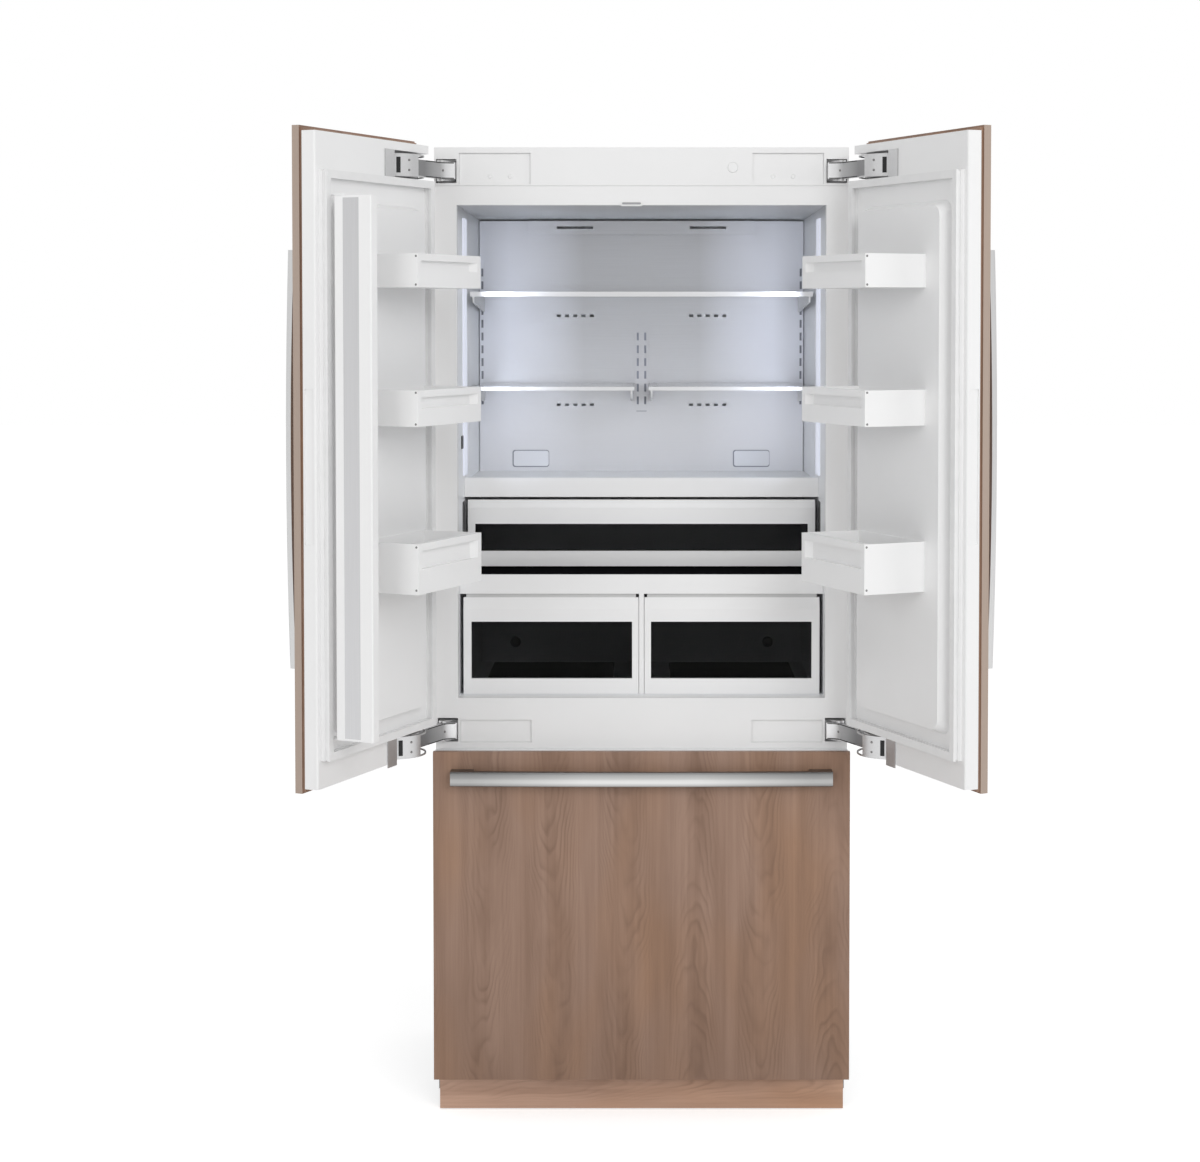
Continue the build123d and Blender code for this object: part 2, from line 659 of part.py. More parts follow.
# Hinge brackets in the frame, each with its pin
ear_bottom = ARM_HEIGHT / 2 + EAR_GAP
pin_point = (-BRACKET_PIN_X, BRACKET_PIN_Y)
with BuildPart() as bracket:
    for low in (ear_bottom, -ear_bottom - EAR):
        with BuildSketch(Plane.XY.offset(low)):
            with Locations(pin_point):
                Circle(EAR_RADIUS)
            draw((STEEL - NOTCH_OUTER, -OPENING_HALF - STEEL), (FACE_DEPTH / 2, FACE_DEPTH - STEEL))
            make_hull()
            with Locations(pin_point):
                Circle(PIN_RADIUS + PIN_SLACK, mode=Mode.SUBTRACT)
        extrude(amount=EAR)
    slab(
        (SLIP - NOTCH_OUTER, -OPENING_HALF - SLIP),
        (FACE_DEPTH - STEEL - SLIP, FACE_DEPTH - SLIP),
        (SLIP - NOTCH_HALF, NOTCH_HALF - SLIP),
    )
with BuildPart() as bracket_pin:
    with Locations((*pin_point, 0)):
        Cylinder(PIN_RADIUS, 2 * (ear_bottom + EAR))

# Hinge arm in its open place: it turns on the bracket pin, and its tip pin rides in the door's slots
arm_heading = radians(ARM_ANGLE)
tip_point = (
    -BRACKET_PIN_X + ARM_LENGTH * cos(arm_heading),
    BRACKET_PIN_Y - ARM_LENGTH * sin(arm_heading),
)
with BuildPart() as arm:
    with BuildSketch(Plane.XY.offset(-ARM_HEIGHT / 2)) as arm_plan:
        with Locations(pin_point):
            Circle(ARM_BOSS_RADIUS)
        with Locations(tip_point):
            Circle(TIP_RADIUS)
        make_hull()
        with BuildSketch(Plane.XY, mode=Mode.PRIVATE) as tail:
            with Locations(pin_point):
                Circle(ARM_BOSS_RADIUS)
            with Locations((ARM_TAIL - BRACKET_PIN_X, BRACKET_PIN_Y)):
                Circle(ARM_TAIL_RADIUS)
            make_hull()
        add(tail.sketch)
        beside_boss = (ARM_BOSS_RADIUS - BRACKET_PIN_X, BRACKET_PIN_Y - ARM_BOSS_RADIUS)
        fillet(arm_plan.vertices().sort_by_distance(beside_boss)[0], ARM_ELBOW)
        with Locations(pin_point):
            Circle(PIN_RADIUS + PIN_SLACK, mode=Mode.SUBTRACT)
    extrude(amount=ARM_HEIGHT)
    with Locations((*tip_point, 0)):
        Cylinder(TIP_RADIUS, 2 * (GUIDE_LEVEL + GUIDE_PLATE + SLIP))

def board(x_span, back, z_span):
    """Add a veneered board on a smaller backing board whose rear face is at y = back."""
    slab(x_span, (back - WOOD, back - BACKING), z_span)
    small_x, small_z = ((low + BACKING_INSET, high - BACKING_INSET) for low, high in (x_span, z_span))
    slab(small_x, (back - BACKING, back), small_z)


# Door skins: wood outside, steel pan behind it, open where the hinges work
with BuildPart() as door_panel:
    board((0, DOOR_WIDTH), 0, (DOOR_BOTTOM, DOOR_TOP))
with BuildPart() as door_shell:
    slab(
        (SHELL_INSET, DOOR_WIDTH),
        (0, SHELL),
        (DOOR_BOTTOM + SHELL_MARGIN_BOTTOM, DOOR_TOP - SHELL_MARGIN_TOP),
    )
    fillet(door_shell.edges().filter_by(Axis.Z).group_by(Axis.Y)[-1], PIN_RADIUS)
    for level in HINGE_HEIGHTS:
        slab(
            (0, POCKET_LENGTH),
            (POCKET_SKIN, SHELL),
            (level - POCKET_HALF, level + POCKET_HALF),
            Mode.SUBTRACT,
        )
    slab(
        (DOOR_WIDTH - EDGE_RECESS, DOOR_WIDTH),
        (EDGE_RECESS, EDGE_RECESS + EDGE_RECESS_WIDTH),
        EDGE_RECESS_LEVELS,
        Mode.SUBTRACT,
    )

# Inner door liner: a base plate, a raised middle with sloping sides, and two ears for the mullion
with BuildPart() as door_liner:
    slab((LINER_HINGE_EDGE, LINER_FREE_EDGE), (SHELL, SHELL_BACK), (LINER_BOTTOM, LINER_TOP))
    for depth, slope in ((SHELL_BACK, 0), (SHELL_BACK + PLATEAU, PLATEAU_SLOPE)):
        with BuildSketch(at_depth(depth)):
            draw(
                (PLATEAU_HINGE_EDGE + slope, PLATEAU_FREE_EDGE - slope),
                (PLATEAU_BOTTOM + slope, PLATEAU_TOP - slope),
                radius=CORNER_RADIUS,
            )
    loft()
with BuildPart() as mullion_ears:
    for low in (MULLION_BOTTOM - REVEAL - MULLION_EAR, MULLION_TOP + REVEAL):
        with BuildSketch(Plane.XY.offset(low)):
            with Locations((MULLION_PIVOT_U, MULLION_PIVOT_V)):
                Circle(MULLION_EAR_RADIUS)
            draw((MULLION_PIVOT_U - MULLION_EAR_FOOT, MULLION_PIVOT_U), (SHELL_BACK, SHELL_BACK + EAR))
            make_hull()
            with Locations((MULLION_PIVOT_U, MULLION_PIVOT_V)):
                Circle(MULLION_AXLE_RADIUS + PIN_SLACK, mode=Mode.SUBTRACT)
        extrude(amount=MULLION_EAR)

# Magnetic gasket: foot, thin neck and magnet head
with BuildPart() as door_gasket:
    neck = (GASKET_TOP - SHELL_BACK) / GASKET_STEPS
    for step, inset in enumerate((0, GASKET_NECK / 2, 0)):
        with BuildSketch(at_depth(SHELL_BACK + step * neck)):
            for grow, mode in ((inset, Mode.ADD), (GASKET_WIDTH - inset, Mode.SUBTRACT)):
                draw(
                    (LINER_HINGE_EDGE + grow, LINER_FREE_EDGE - grow),
                    (LINER_BOTTOM + grow, LINER_TOP - grow),
                    mode=mode,
                )
        extrude(amount=-neck)

# Door bins: open trays whose thick front has a long pocket for the fingers
with BuildPart() as door_bins:
    shelf_face = SHELL_BACK + PLATEAU
    for bottom, top in BIN_LEVELS:
        slab((BIN_START, BIN_END), (shelf_face, shelf_face + BIN_DEPTH), (bottom, top))
        slab(
            (BIN_START + BIN_WALL, BIN_END - BIN_WALL),
            (shelf_face + BIN_WALL, shelf_face + BIN_DEPTH - BIN_FRONT),
            (bottom + BIN_WALL, top),
            Mode.SUBTRACT,
        )
        pocket_top = top - BIN_POCKET_MARGIN
        pocket_bottom = (top + bottom) / 2
        mouth = (BIN_START + BIN_POCKET_MARGIN, BIN_END - BIN_POCKET_MARGIN)
        with BuildSketch(at_depth(shelf_face + BIN_DEPTH)):
            draw(mouth, (pocket_bottom, pocket_top))
        with BuildSketch(at_depth(shelf_face + BIN_DEPTH - BIN_POCKET)):
            draw((mouth[0] + BIN_POCKET_SLOPE, mouth[1]), (pocket_bottom, pocket_top))
        loft(mode=Mode.SUBTRACT)


def bar_handle(length):
    """A bowed bar handle along X, standing off a face at y = 0 towards the front."""
    half = length / 2
    reach, inner_reach = HANDLE_REACH, HANDLE_REACH - HANDLE_THICKNESS
    with BuildPart() as bar:
        with BuildSketch(Plane.XY.offset(-HANDLE_WIDTH / 2)):
            with BuildLine():
                outside = ThreePointArc((-half, -reach), (0, -reach - HANDLE_BOW), (half, -reach))
                inside = ThreePointArc(
                    (HANDLE_POST - half, -inner_reach),
                    (0, -inner_reach - HANDLE_BOW),
                    (half - HANDLE_POST, -inner_reach),
                )
                Polyline(outside @ 1, (half, 0), (half - HANDLE_POST, 0), inside @ 1)
                Polyline(outside @ 0, (-half, 0), (HANDLE_POST - half, 0), inside @ 0)
            make_face()
        extrude(amount=HANDLE_WIDTH)
        long_edges = bar.edges().filter_by(GeomType.CIRCLE).sort_by(Axis.Y)[:2]
        fillet(long_edges, HANDLE_ROUND)
    return bar.part


with BuildPart() as door_handle:
    with Locations(
        Plane(origin=(DOOR_HANDLE_U, -WOOD, DOOR_HANDLE_LEVEL), x_dir=(0, 0, 1), z_dir=(-1, 0, 0)).location
    ):
        add(bar_handle(DOOR_HANDLE_LENGTH))


def guide_disc(radius):
    """Draw a disc about the middle of the guide curve."""
    with Locations((GUIDE_CENTRE_U, GUIDE_CENTRE_V)):
        Circle(radius)


# Hinge housing in the door: back plate, two slotted guide plates, curved cover and mounting flange
outer_radius = GUIDE_RADIUS + TIP_RADIUS + GUIDE_SLACK + GUIDE_RIM
plate_back = POCKET_SKIN + SLIP / 2
with BuildPart() as housing:
    for low in (GUIDE_LEVEL, -GUIDE_LEVEL - GUIDE_PLATE):
        with BuildSketch(Plane.XY.offset(low)):
            guide_disc(outer_radius)
            with Locations((GUIDE_CENTRE_U, plate_back - outer_radius)):
                Rectangle(2 * POCKET_LENGTH, 2 * outer_radius, mode=Mode.SUBTRACT)
            with BuildSketch(Plane.XY, mode=Mode.PRIVATE) as slot:
                with BuildLine() as curve:
                    CenterArc(
                        (GUIDE_CENTRE_U, GUIDE_CENTRE_V), GUIDE_RADIUS, GUIDE_START, GUIDE_END - GUIDE_START
                    )
                SlotArc(curve.edges()[0], 2 * (TIP_RADIUS + GUIDE_SLACK))
            add(slot.sketch, mode=Mode.SUBTRACT)
        extrude(amount=GUIDE_PLATE)
    slab(
        (SHELL_INSET + HOUSING_BACK, HOUSING_RISER),
        (plate_back, plate_back + HOUSING_BACK),
        (-GUIDE_LEVEL - GUIDE_PLATE, GUIDE_LEVEL + GUIDE_PLATE),
    )
    with BuildSketch(Plane.XY.offset(-GUIDE_LEVEL)):
        with BuildLine():
            centre = (GUIDE_CENTRE_U, GUIDE_CENTRE_V)
            sweep_angle = COVER_END - COVER_START
            rim = CenterArc(centre, outer_radius, COVER_START, sweep_angle)
            bore = CenterArc(centre, outer_radius - GUIDE_RIM, COVER_START, sweep_angle)
            Line(rim @ 0, bore @ 0)
            Line(rim @ 1, bore @ 1)
        make_face()
    extrude(amount=2 * GUIDE_LEVEL)
    slab(
        (HOUSING_RISER, HOUSING_RISER + STEEL),
        (plate_back, SHELL + STEEL),
        (SLIP - POCKET_HALF, POCKET_HALF - SLIP),
    )
    slab(
        (HOUSING_RISER, POCKET_LENGTH - SLIP),
        (SHELL, SHELL + STEEL),
        (SLIP - POCKET_HALF, POCKET_HALF - SLIP),
    )

# Hinged mullion, folded back on the left door
with BuildPart() as mullion:
    slab(
        (MULLION_U, MULLION_U + MULLION_THICKNESS),
        (MULLION_V, MULLION_V + MULLION_WIDTH),
        (MULLION_BOTTOM, MULLION_TOP),
    )
    fillet(mullion.edges().filter_by(Axis.Z), MULLION_HEEL - SLIP)
    face_u = MULLION_U + MULLION_THICKNESS
    strip = (MULLION_V + MULLION_STRIP_START, MULLION_V + MULLION_STRIP_START + MULLION_STRIP_WIDTH)
    strip_levels = (MULLION_BOTTOM + MULLION_ROUND, MULLION_TOP - MULLION_ROUND)
    slab((face_u - MULLION_STRIP, face_u), strip, strip_levels, Mode.SUBTRACT)
    for base in (MULLION_BOTTOM - REVEAL - MULLION_EAR, MULLION_TOP):
        with Locations((MULLION_PIVOT_U, MULLION_PIVOT_V, base)):
            Cylinder(
                MULLION_AXLE_RADIUS, REVEAL + MULLION_EAR, align=(Align.CENTER, Align.CENTER, Align.MIN)
            )
with BuildPart() as mullion_plate:
    slab((face_u - MULLION_STRIP, face_u), strip, strip_levels)

# Freezer drawer front
with BuildPart() as freezer_panel:
    board((-HALF, HALF), -DOOR_SETBACK, (FREEZER_PANEL_BOTTOM, FREEZER_PANEL_TOP))
with BuildPart() as freezer_shell:
    slab(
        (SHELL_INSET - HALF, HALF - SHELL_INSET),
        (-DOOR_SETBACK, FREEZER_SHELL_FACE),
        (FREEZER_PANEL_BOTTOM + FREEZER_SHELL_MARGIN, FREEZER_PANEL_TOP - FREEZER_SHELL_MARGIN),
    )
    fillet(freezer_shell.edges().filter_by(Axis.Z).group_by(Axis.Y)[-1], PIN_RADIUS)
    slab(
        (-FREEZER_LINER_HALF, FREEZER_LINER_HALF),
        (FREEZER_SHELL_FACE, FREEZER_SHELL_FACE + LINER_PLATE),
        (FREEZER_LINER_BOTTOM, FREEZER_LINER_TOP),
    )
    for rise, slope in ((0, 0), (PLATEAU, PLATEAU_SLOPE)):
        with BuildSketch(at_depth(FREEZER_SHELL_FACE + LINER_PLATE + rise)):
            draw(
                (slope - FREEZER_PLATEAU_HALF, FREEZER_PLATEAU_HALF - slope),
                (FREEZER_PLATEAU_BOTTOM + slope, FREEZER_PLATEAU_TOP - slope),
                radius=CORNER_RADIUS,
            )
    loft()
with BuildPart() as freezer_gasket:
    neck = (GASKET_TOP - SHELL_BACK) / GASKET_STEPS
    for step, inset in enumerate((0, GASKET_NECK / 2, 0)):
        with BuildSketch(at_depth(FREEZER_SHELL_FACE + LINER_PLATE + step * neck)):
            for grow, mode in ((inset, Mode.ADD), (GASKET_WIDTH - inset, Mode.SUBTRACT)):
                draw(
                    (grow - FREEZER_LINER_HALF, FREEZER_LINER_HALF - grow),
                    (FREEZER_LINER_BOTTOM + grow, FREEZER_LINER_TOP - grow),
                    mode=mode,
                )
        extrude(amount=-neck)
with BuildPart() as freezer_handle:
    with Locations((0, FREEZER_FRONT, FREEZER_HANDLE_LEVEL)):
        add(bar_handle(FREEZER_HANDLE_LENGTH))

# Back panel of the fridge: a shallow tray over the air duct, with vents
with BuildPart() as duct_panel:
    slab((-DUCT_HALF, DUCT_HALF), (PANEL_FACE, PANEL_FACE + LINER), (DUCT_BOTTOM, DUCT_TOP))
    lip_half = OPENING_HALF - WALL_TAPER - CORNER_RADIUS
    slab((-lip_half, lip_half), (PANEL_FACE, LINER_BACK - SLIP), (DUCT_BOTTOM, DUCT_TOP))
    slab(
        (LINER - lip_half, lip_half - LINER),
        (PANEL_FACE + LINER, LINER_BACK - SLIP),
        (DUCT_BOTTOM + LINER, DUCT_TOP - LINER),
        Mode.SUBTRACT,
    )
    duct_face = PANEL_FACE - DUCT_BOX_PROUD
    slab((-DUCT_BOX_HALF, DUCT_BOX_HALF), (duct_face, PANEL_FACE), (DUCT_BOX_BOTTOM, DUCT_TOP))
    for span in both(FRAME_INNER, FRAME_OUTER):
        with BuildSketch(at_depth(PANEL_FACE - FRAME_PROUD)):
            draw(span, (FRAME_BOTTOM, FRAME_TOP), radius=2 * FRAME_RIB)
            draw(
                (span[0] + FRAME_RIB, span[1] - FRAME_RIB),
                (FRAME_BOTTOM + FRAME_RIB, FRAME_TOP - FRAME_RIB),
                mode=Mode.SUBTRACT,
            )
        extrude(amount=-FRAME_PROUD)
    with BuildSketch(at_depth(PANEL_FACE - DUCT_BOX_PROUD)):
        for span in both(VENT_INNER, VENT_OUTER):
            draw(span, (TOP_VENT_LEVEL - VENT_HEIGHT / 2, TOP_VENT_LEVEL + VENT_HEIGHT / 2))
        for level in VENT_LEVELS:
            for side in (-1, 1):
                with Locations((side * (VENT_INNER + VENT_OUTER) / 2, level)):
                    with GridLocations(VENT_PITCH, VENT_PITCH, VENT_SLOTS, 1):
                        Rectangle(VENT_SLOT, VENT_HEIGHT)
    extrude(amount=-DUCT_BOX_PROUD - LINER, mode=Mode.SUBTRACT)

# Slotted rails that the shelves hook into
with BuildPart() as shelf_rails:
    centre_middle = (CENTRE_RAIL_BOTTOM + CENTRE_RAIL_TOP) / 2
    side_middle = (SIDE_RAIL_BOTTOM + SIDE_RAIL_TOP) / 2
    centre_count = int((CENTRE_RAIL_TOP - CENTRE_RAIL_BOTTOM) // RAIL_SLOT_PITCH)
    side_count = int((SIDE_RAIL_TOP - SIDE_RAIL_BOTTOM) // RAIL_SLOT_PITCH)
    with BuildSketch(at_depth(PANEL_FACE - RAIL_PROUD)):
        draw((-CENTRE_RAIL_HALF, CENTRE_RAIL_HALF), (CENTRE_RAIL_BOTTOM, CENTRE_RAIL_TOP))
        for span in both(SIDE_RAIL_INNER, SIDE_RAIL_OUTER):
            draw(span, (SIDE_RAIL_BOTTOM, SIDE_RAIL_TOP))
        with Locations((0, centre_middle)):
            with GridLocations(2 * RAIL_SLOT_OFFSET, RAIL_SLOT_PITCH, 2, centre_count):
                Rectangle(RAIL_SLOT_WIDTH, RAIL_SLOT_HEIGHT, mode=Mode.SUBTRACT)
        with Locations((0, side_middle)):
            with GridLocations(SIDE_RAIL_INNER + SIDE_RAIL_OUTER, RAIL_SLOT_PITCH, 2, side_count):
                Rectangle(RAIL_SLOT_WIDTH, RAIL_SLOT_HEIGHT, mode=Mode.SUBTRACT)
    extrude(amount=-RAIL_PROUD)

# Shelves: a glass plate in a frame of front trim, two tapered arms and a rear bar
shelf_back = PANEL_FACE - RAIL_PROUD - SLIP
shelves = (
    (-SHELF_HALF, SHELF_HALF, UPPER_SHELF_TOP, SHELF_TRIM),
    (-SHELF_HALF, -SHELF_CENTRE_GAP, LOWER_SHELF_TOP, LOWER_SHELF_TRIM),
    (SHELF_CENTRE_GAP, SHELF_HALF, LOWER_SHELF_TOP, LOWER_SHELF_TRIM),
)
with BuildPart() as shelf_frames:
    for left, right, top, trim in shelves:
        slab((left, right), (UPPER_FRONT, UPPER_FRONT + SHELF_TRIM_DEPTH), (top - trim, top))
        ledge_top = top - SHELF_GLASS - SHELF_BEDDING
        ledge = (ledge_top - SHELF_LEDGE_THICKNESS, ledge_top)
        slab((left, right), (shelf_back - SHELF_LEDGE, shelf_back), ledge)
        for outer, inner in ((left + SHELF_ARM_INSET, 1), (right - SHELF_ARM_INSET, -1)):
            near, far = sorted((outer, outer + inner * SHELF_LEDGE))
            slab((near, far), (UPPER_FRONT + SHELF_TRIM_DEPTH, shelf_back), ledge)
            with BuildSketch(Plane.YZ.offset(min(outer, outer + inner * SHELF_ARM))):
                with BuildLine():
                    Polyline(
                        (UPPER_FRONT + SHELF_BEDDING, ledge_top),
                        (shelf_back, ledge_top),
                        (shelf_back, ledge_top - 2 * SHELF_ARM_DROP),
                        (shelf_back - SHELF_ARM_DROP, ledge_top - 2 * SHELF_ARM_DROP),
                        (UPPER_FRONT + SHELF_ARM_DROP, ledge_top - SHELF_ARM_DROP),
                        (UPPER_FRONT + SHELF_ARM_TIP, ledge_top - SHELF_ARM_DROP),
                        (UPPER_FRONT + SHELF_BEDDING, ledge_top - SHELF_ARM_TIP),
                        close=True,
                    )
                make_face()
            extrude(amount=SHELF_ARM)
with BuildPart() as shelf_glass:
    for left, right, top, trim in shelves:
        glass_top = top - 1
        slab(
            (left + REVEAL, right - REVEAL),
            (UPPER_FRONT + SHELF_TRIM_DEPTH + SLIP, shelf_back),
            (glass_top - SHELF_GLASS, glass_top),
        )

# Light strips on the side walls
with BuildPart() as light_strips:
    for side in (-1, 1):
        with BuildSketch(Plane.XY.offset(STRIP_BOTTOM)):
            with BuildLine():
                front_x, back_x = wall_half(STRIP_FRONT) - SLIP, wall_half(STRIP_BACK) - SLIP
                Polyline(
                    (side * front_x, STRIP_FRONT),
                    (side * back_x, STRIP_BACK),
                    (side * (back_x - STRIP_THICKNESS), STRIP_BACK),
                    (side * (front_x - STRIP_THICKNESS), STRIP_FRONT),
                    close=True,
                )
            make_face()
        extrude(amount=STRIP_TOP - STRIP_BOTTOM)

# Deck: a plate with a deep front lip, fitted between the tapering walls
deck_back = PANEL_FACE - SLIP
with BuildPart() as deck:
    with BuildSketch(Plane.XY.offset(DECK_TOP - DECK_PLATE)):
        with BuildLine():
            front_half, rear_half = wall_half(UPPER_FRONT) - SLIP, wall_half(deck_back) - SLIP
            Polyline(
                (-front_half, UPPER_FRONT),
                (front_half, UPPER_FRONT),
                (rear_half, deck_back),
                (-rear_half, deck_back),
                close=True,
            )
        make_face()
    extrude(amount=DECK_PLATE)
    slab((-front_half, front_half), (UPPER_FRONT, UPPER_FRONT + DECK_LIP), (DECK_LIP_BOTTOM, DECK_LIP_TOP))


def drawer_front(x_span, window, levels, y):
    """Add a drawer front whose top leans back as a grip, with a rebated window opening."""
    bottom, grip, top = levels
    with BuildSketch(Plane.YZ.offset(x_span[0])) as outline:
        with BuildLine():
            Polyline(
                (y, bottom),
                (y, grip),
                (y + GRIP_SLOPE, top),
                (y + FRONT_THICKNESS, top),
                (y + FRONT_THICKNESS, bottom),
                close=True,
            )
        make_face()
    extrude(outline.sketch, amount=x_span[1] - x_span[0])
    window_x, window_z = window
    slab(window_x, (y, y + FRONT_THICKNESS), window_z, Mode.SUBTRACT)
    rebate_x, rebate_z = rebate(window)
    slab(rebate_x, (y + FRONT_THICKNESS - PANE - SLIP, y + FRONT_THICKNESS), rebate_z, Mode.SUBTRACT)


def rebate(window, slack=0):
    """The limits of the rebate round a window opening, less a slack."""
    grow = PANE_REBATE - slack
    return tuple((low - grow, high + grow) for low, high in window)


def drawer_box(x_span, y_span, z_span):
    """Add an open box behind a drawer front."""
    slab(x_span, y_span, z_span)
    slab(
        (x_span[0] + DRAWER_WALL, x_span[1] - DRAWER_WALL),
        (y_span[0], y_span[1] - DRAWER_WALL),
        (z_span[0] + DRAWER_WALL, z_span[1]),
        Mode.SUBTRACT,
    )


def pane(window, y):
    """Add a window pane in its rebate."""
    pane_x, pane_z = rebate(window, SLIP)
    slab(pane_x, (y + FRONT_THICKNESS - PANE, y + FRONT_THICKNESS), pane_z)


wide_opening = ((-WIDE_WINDOW_HALF, WIDE_WINDOW_HALF), (WIDE_WINDOW_BOTTOM, WIDE_WINDOW_TOP))
wide_levels = (WIDE_BOTTOM, WIDE_GRIP, WIDE_TOP)
with BuildPart() as wide_drawer:
    drawer_box(
        (-WIDE_BOX_HALF, WIDE_BOX_HALF),
        (UPPER_FRONT + FRONT_THICKNESS, DRAWER_BACK),
        (WIDE_BOTTOM, WIDE_BOX_TOP),
    )
    drawer_front((-WIDE_HALF, WIDE_HALF), wide_opening, wide_levels, UPPER_FRONT)
with BuildPart() as wide_window:
    pane(wide_opening, UPPER_FRONT)

crisper_bottom = FRIDGE_FLOOR + GLIDE
crisper_opening = (
    (CRISPER_WINDOW_INNER, CRISPER_WINDOW_OUTER),
    (CRISPER_WINDOW_BOTTOM, CRISPER_WINDOW_TOP),
)
crisper_levels = (crisper_bottom, CRISPER_GRIP, CRISPER_TOP)
with BuildPart() as right_crisper:
    drawer_box(
        (CRISPER_BOX_INNER, CRISPER_BOX_OUTER),
        (LOWER_FRONT + FRONT_THICKNESS, DRAWER_BACK),
        (crisper_bottom, CRISPER_BOX_TOP),
    )
    drawer_front((CRISPER_INNER, CRISPER_OUTER), crisper_opening, crisper_levels, LOWER_FRONT)
with BuildPart() as right_crisper_window:
    pane(crisper_opening, LOWER_FRONT)

# Divider frame over the crispers: front bar, centre post, side runners for the wide drawer, rear bar
with BuildPart() as crisper_rail:
    bar_back = LOWER_FRONT + DIVIDER_FRONT_BAR
    bar_half = min(DIVIDER_HALF, wall_half(bar_back) - SLIP)
    frame_back = DRAWER_BACK + DRAWER_WALL
    slab((-bar_half, bar_half), (LOWER_FRONT, bar_back), (DIVIDER_BOTTOM, DIVIDER_TOP))
    for side in both(RUNNER_INNER, RUNNER_OUTER):
        slab(side, (bar_back, frame_back), (DIVIDER_BOTTOM, DIVIDER_TOP))
        slab(side, (UPPER_FRONT, frame_back), (DIVIDER_TOP, RUNNER_TOP))
    bar_front = frame_back - DIVIDER_FRONT_BAR
    slab((-RUNNER_INNER, RUNNER_INNER), (bar_front, frame_back), (DIVIDER_BOTTOM, DIVIDER_TOP))
    slab((-POST_HALF, POST_HALF), (LOWER_FRONT, bar_back), (FRIDGE_FLOOR + SLIP, DIVIDER_BOTTOM))
    slab(
        (-RUNNER_INNER, RUNNER_INNER),
        (GLASS_FRONT, frame_back),
        (GLASS_TOP - GLASS_THICKNESS, RUNNER_TOP),
        Mode.SUBTRACT,
    )
with BuildPart() as touch_panel:
    slab(
        (SLIP - RUNNER_INNER, RUNNER_INNER - SLIP),
        (GLASS_FRONT + SLIP, frame_back),
        (GLASS_TOP - GLASS_THICKNESS, GLASS_TOP),
    )

# Power button, and the control board with its switch behind the fascia
button_front = Plane(origin=(BUTTON_X, -BUTTON_PROUD, BUTTON_LEVEL), z_dir=(0, 1, 0))
with BuildPart() as power_button:
    with BuildSketch(button_front):
        Circle(BUTTON_RADIUS)
    extrude(amount=BUTTON_LENGTH)
    chamfer(power_button.edges().sort_by(Axis.Y)[0], BUTTON_PROUD / 2)
with BuildPart() as control_board:
    board_x = (BUTTON_X - BOARD_HALF_LENGTH, BUTTON_X + BOARD_HALF_LENGTH)
    slab(board_x, (BOARD_FRONT, BOARD_FRONT + BOARD), (BOARD_BOTTOM, BOARD_TOP))
    switch_front = BUTTON_LENGTH - BUTTON_PROUD + BUTTON_TRAVEL + REVEAL
    slab(
        (BUTTON_X - SWITCH_WIDTH / 2, BUTTON_X + SWITCH_WIDTH / 2),
        (switch_front, BOARD_FRONT),
        (BUTTON_LEVEL - SWITCH_WIDTH / 2, BUTTON_LEVEL + SWITCH_WIDTH / 2),
    )
    board_middle = (BOARD_BOTTOM + BOARD_TOP) / 2
    with BuildSketch(at_depth(BOARD_FRONT + BOARD)):
        with Locations((BUTTON_X, board_middle)):
            with GridLocations(
                2 * (BOARD_HALF_LENGTH - SPACER), BOARD_TOP - BOARD_BOTTOM - 2 * SPACER, 2, 2
            ):
                Rectangle(SPACER, SPACER)
    extrude(amount=BOARD_FRONT + BOARD - CONTROL_BACK)
    relay = (BUTTON_X - BOARD_HALF_LENGTH / 2, board_middle)
    with BuildSketch(at_depth(BOARD_FRONT)):
        with Locations(relay):
            with GridLocations(2 * SWITCH_WIDTH, 2 * SWITCH_WIDTH, 3, 1):
                Rectangle(SWITCH_WIDTH, 2 * SWITCH_WIDTH)
    extrude(amount=SWITCH_WIDTH)


def channel(outside, inside, height, gauge):
    """Add a C profile along Y whose web stands at x = outside and whose flanges reach x = inside."""
    y_span = (SLIDE_FRONT, SLIDE_FRONT + SLIDE_LENGTH)
    low, high = SLIDE_LEVEL - height / 2, SLIDE_LEVEL + height / 2
    toward = gauge if outside < inside else -gauge
    slab(sorted((outside, outside + toward)), y_span, (low, high))
    for flange in ((low, low + gauge), (high - gauge, high)):
        slab(sorted((outside, inside)), y_span, flange)


# Telescopic freezer slides: fixed channel, middle channel and the basket's own rail
fixed_web = OPENING_HALF - SLIP
middle_web = fixed_web - SLIDE_GAUGE - SLIDE_GAP
middle_height = SLIDE_HEIGHT - 2 * (SLIDE_GAUGE + SLIDE_GAP)
rail_outer = middle_web - SLIDE_GAUGE - SLIDE_GAP
rail_height = middle_height - 2 * (SLIDE_GAUGE + SLIDE_GAP)
slide_inner = fixed_web - SLIDE_DEPTH
with BuildPart() as freezer_slides:
    for side in (-1, 1):
        channel(side * fixed_web, side * slide_inner, SLIDE_HEIGHT, SLIDE_GAUGE)
with BuildPart() as freezer_runners:
    for side in (-1, 1):
        channel(side * middle_web, side * slide_inner, middle_height, SLIDE_GAUGE)

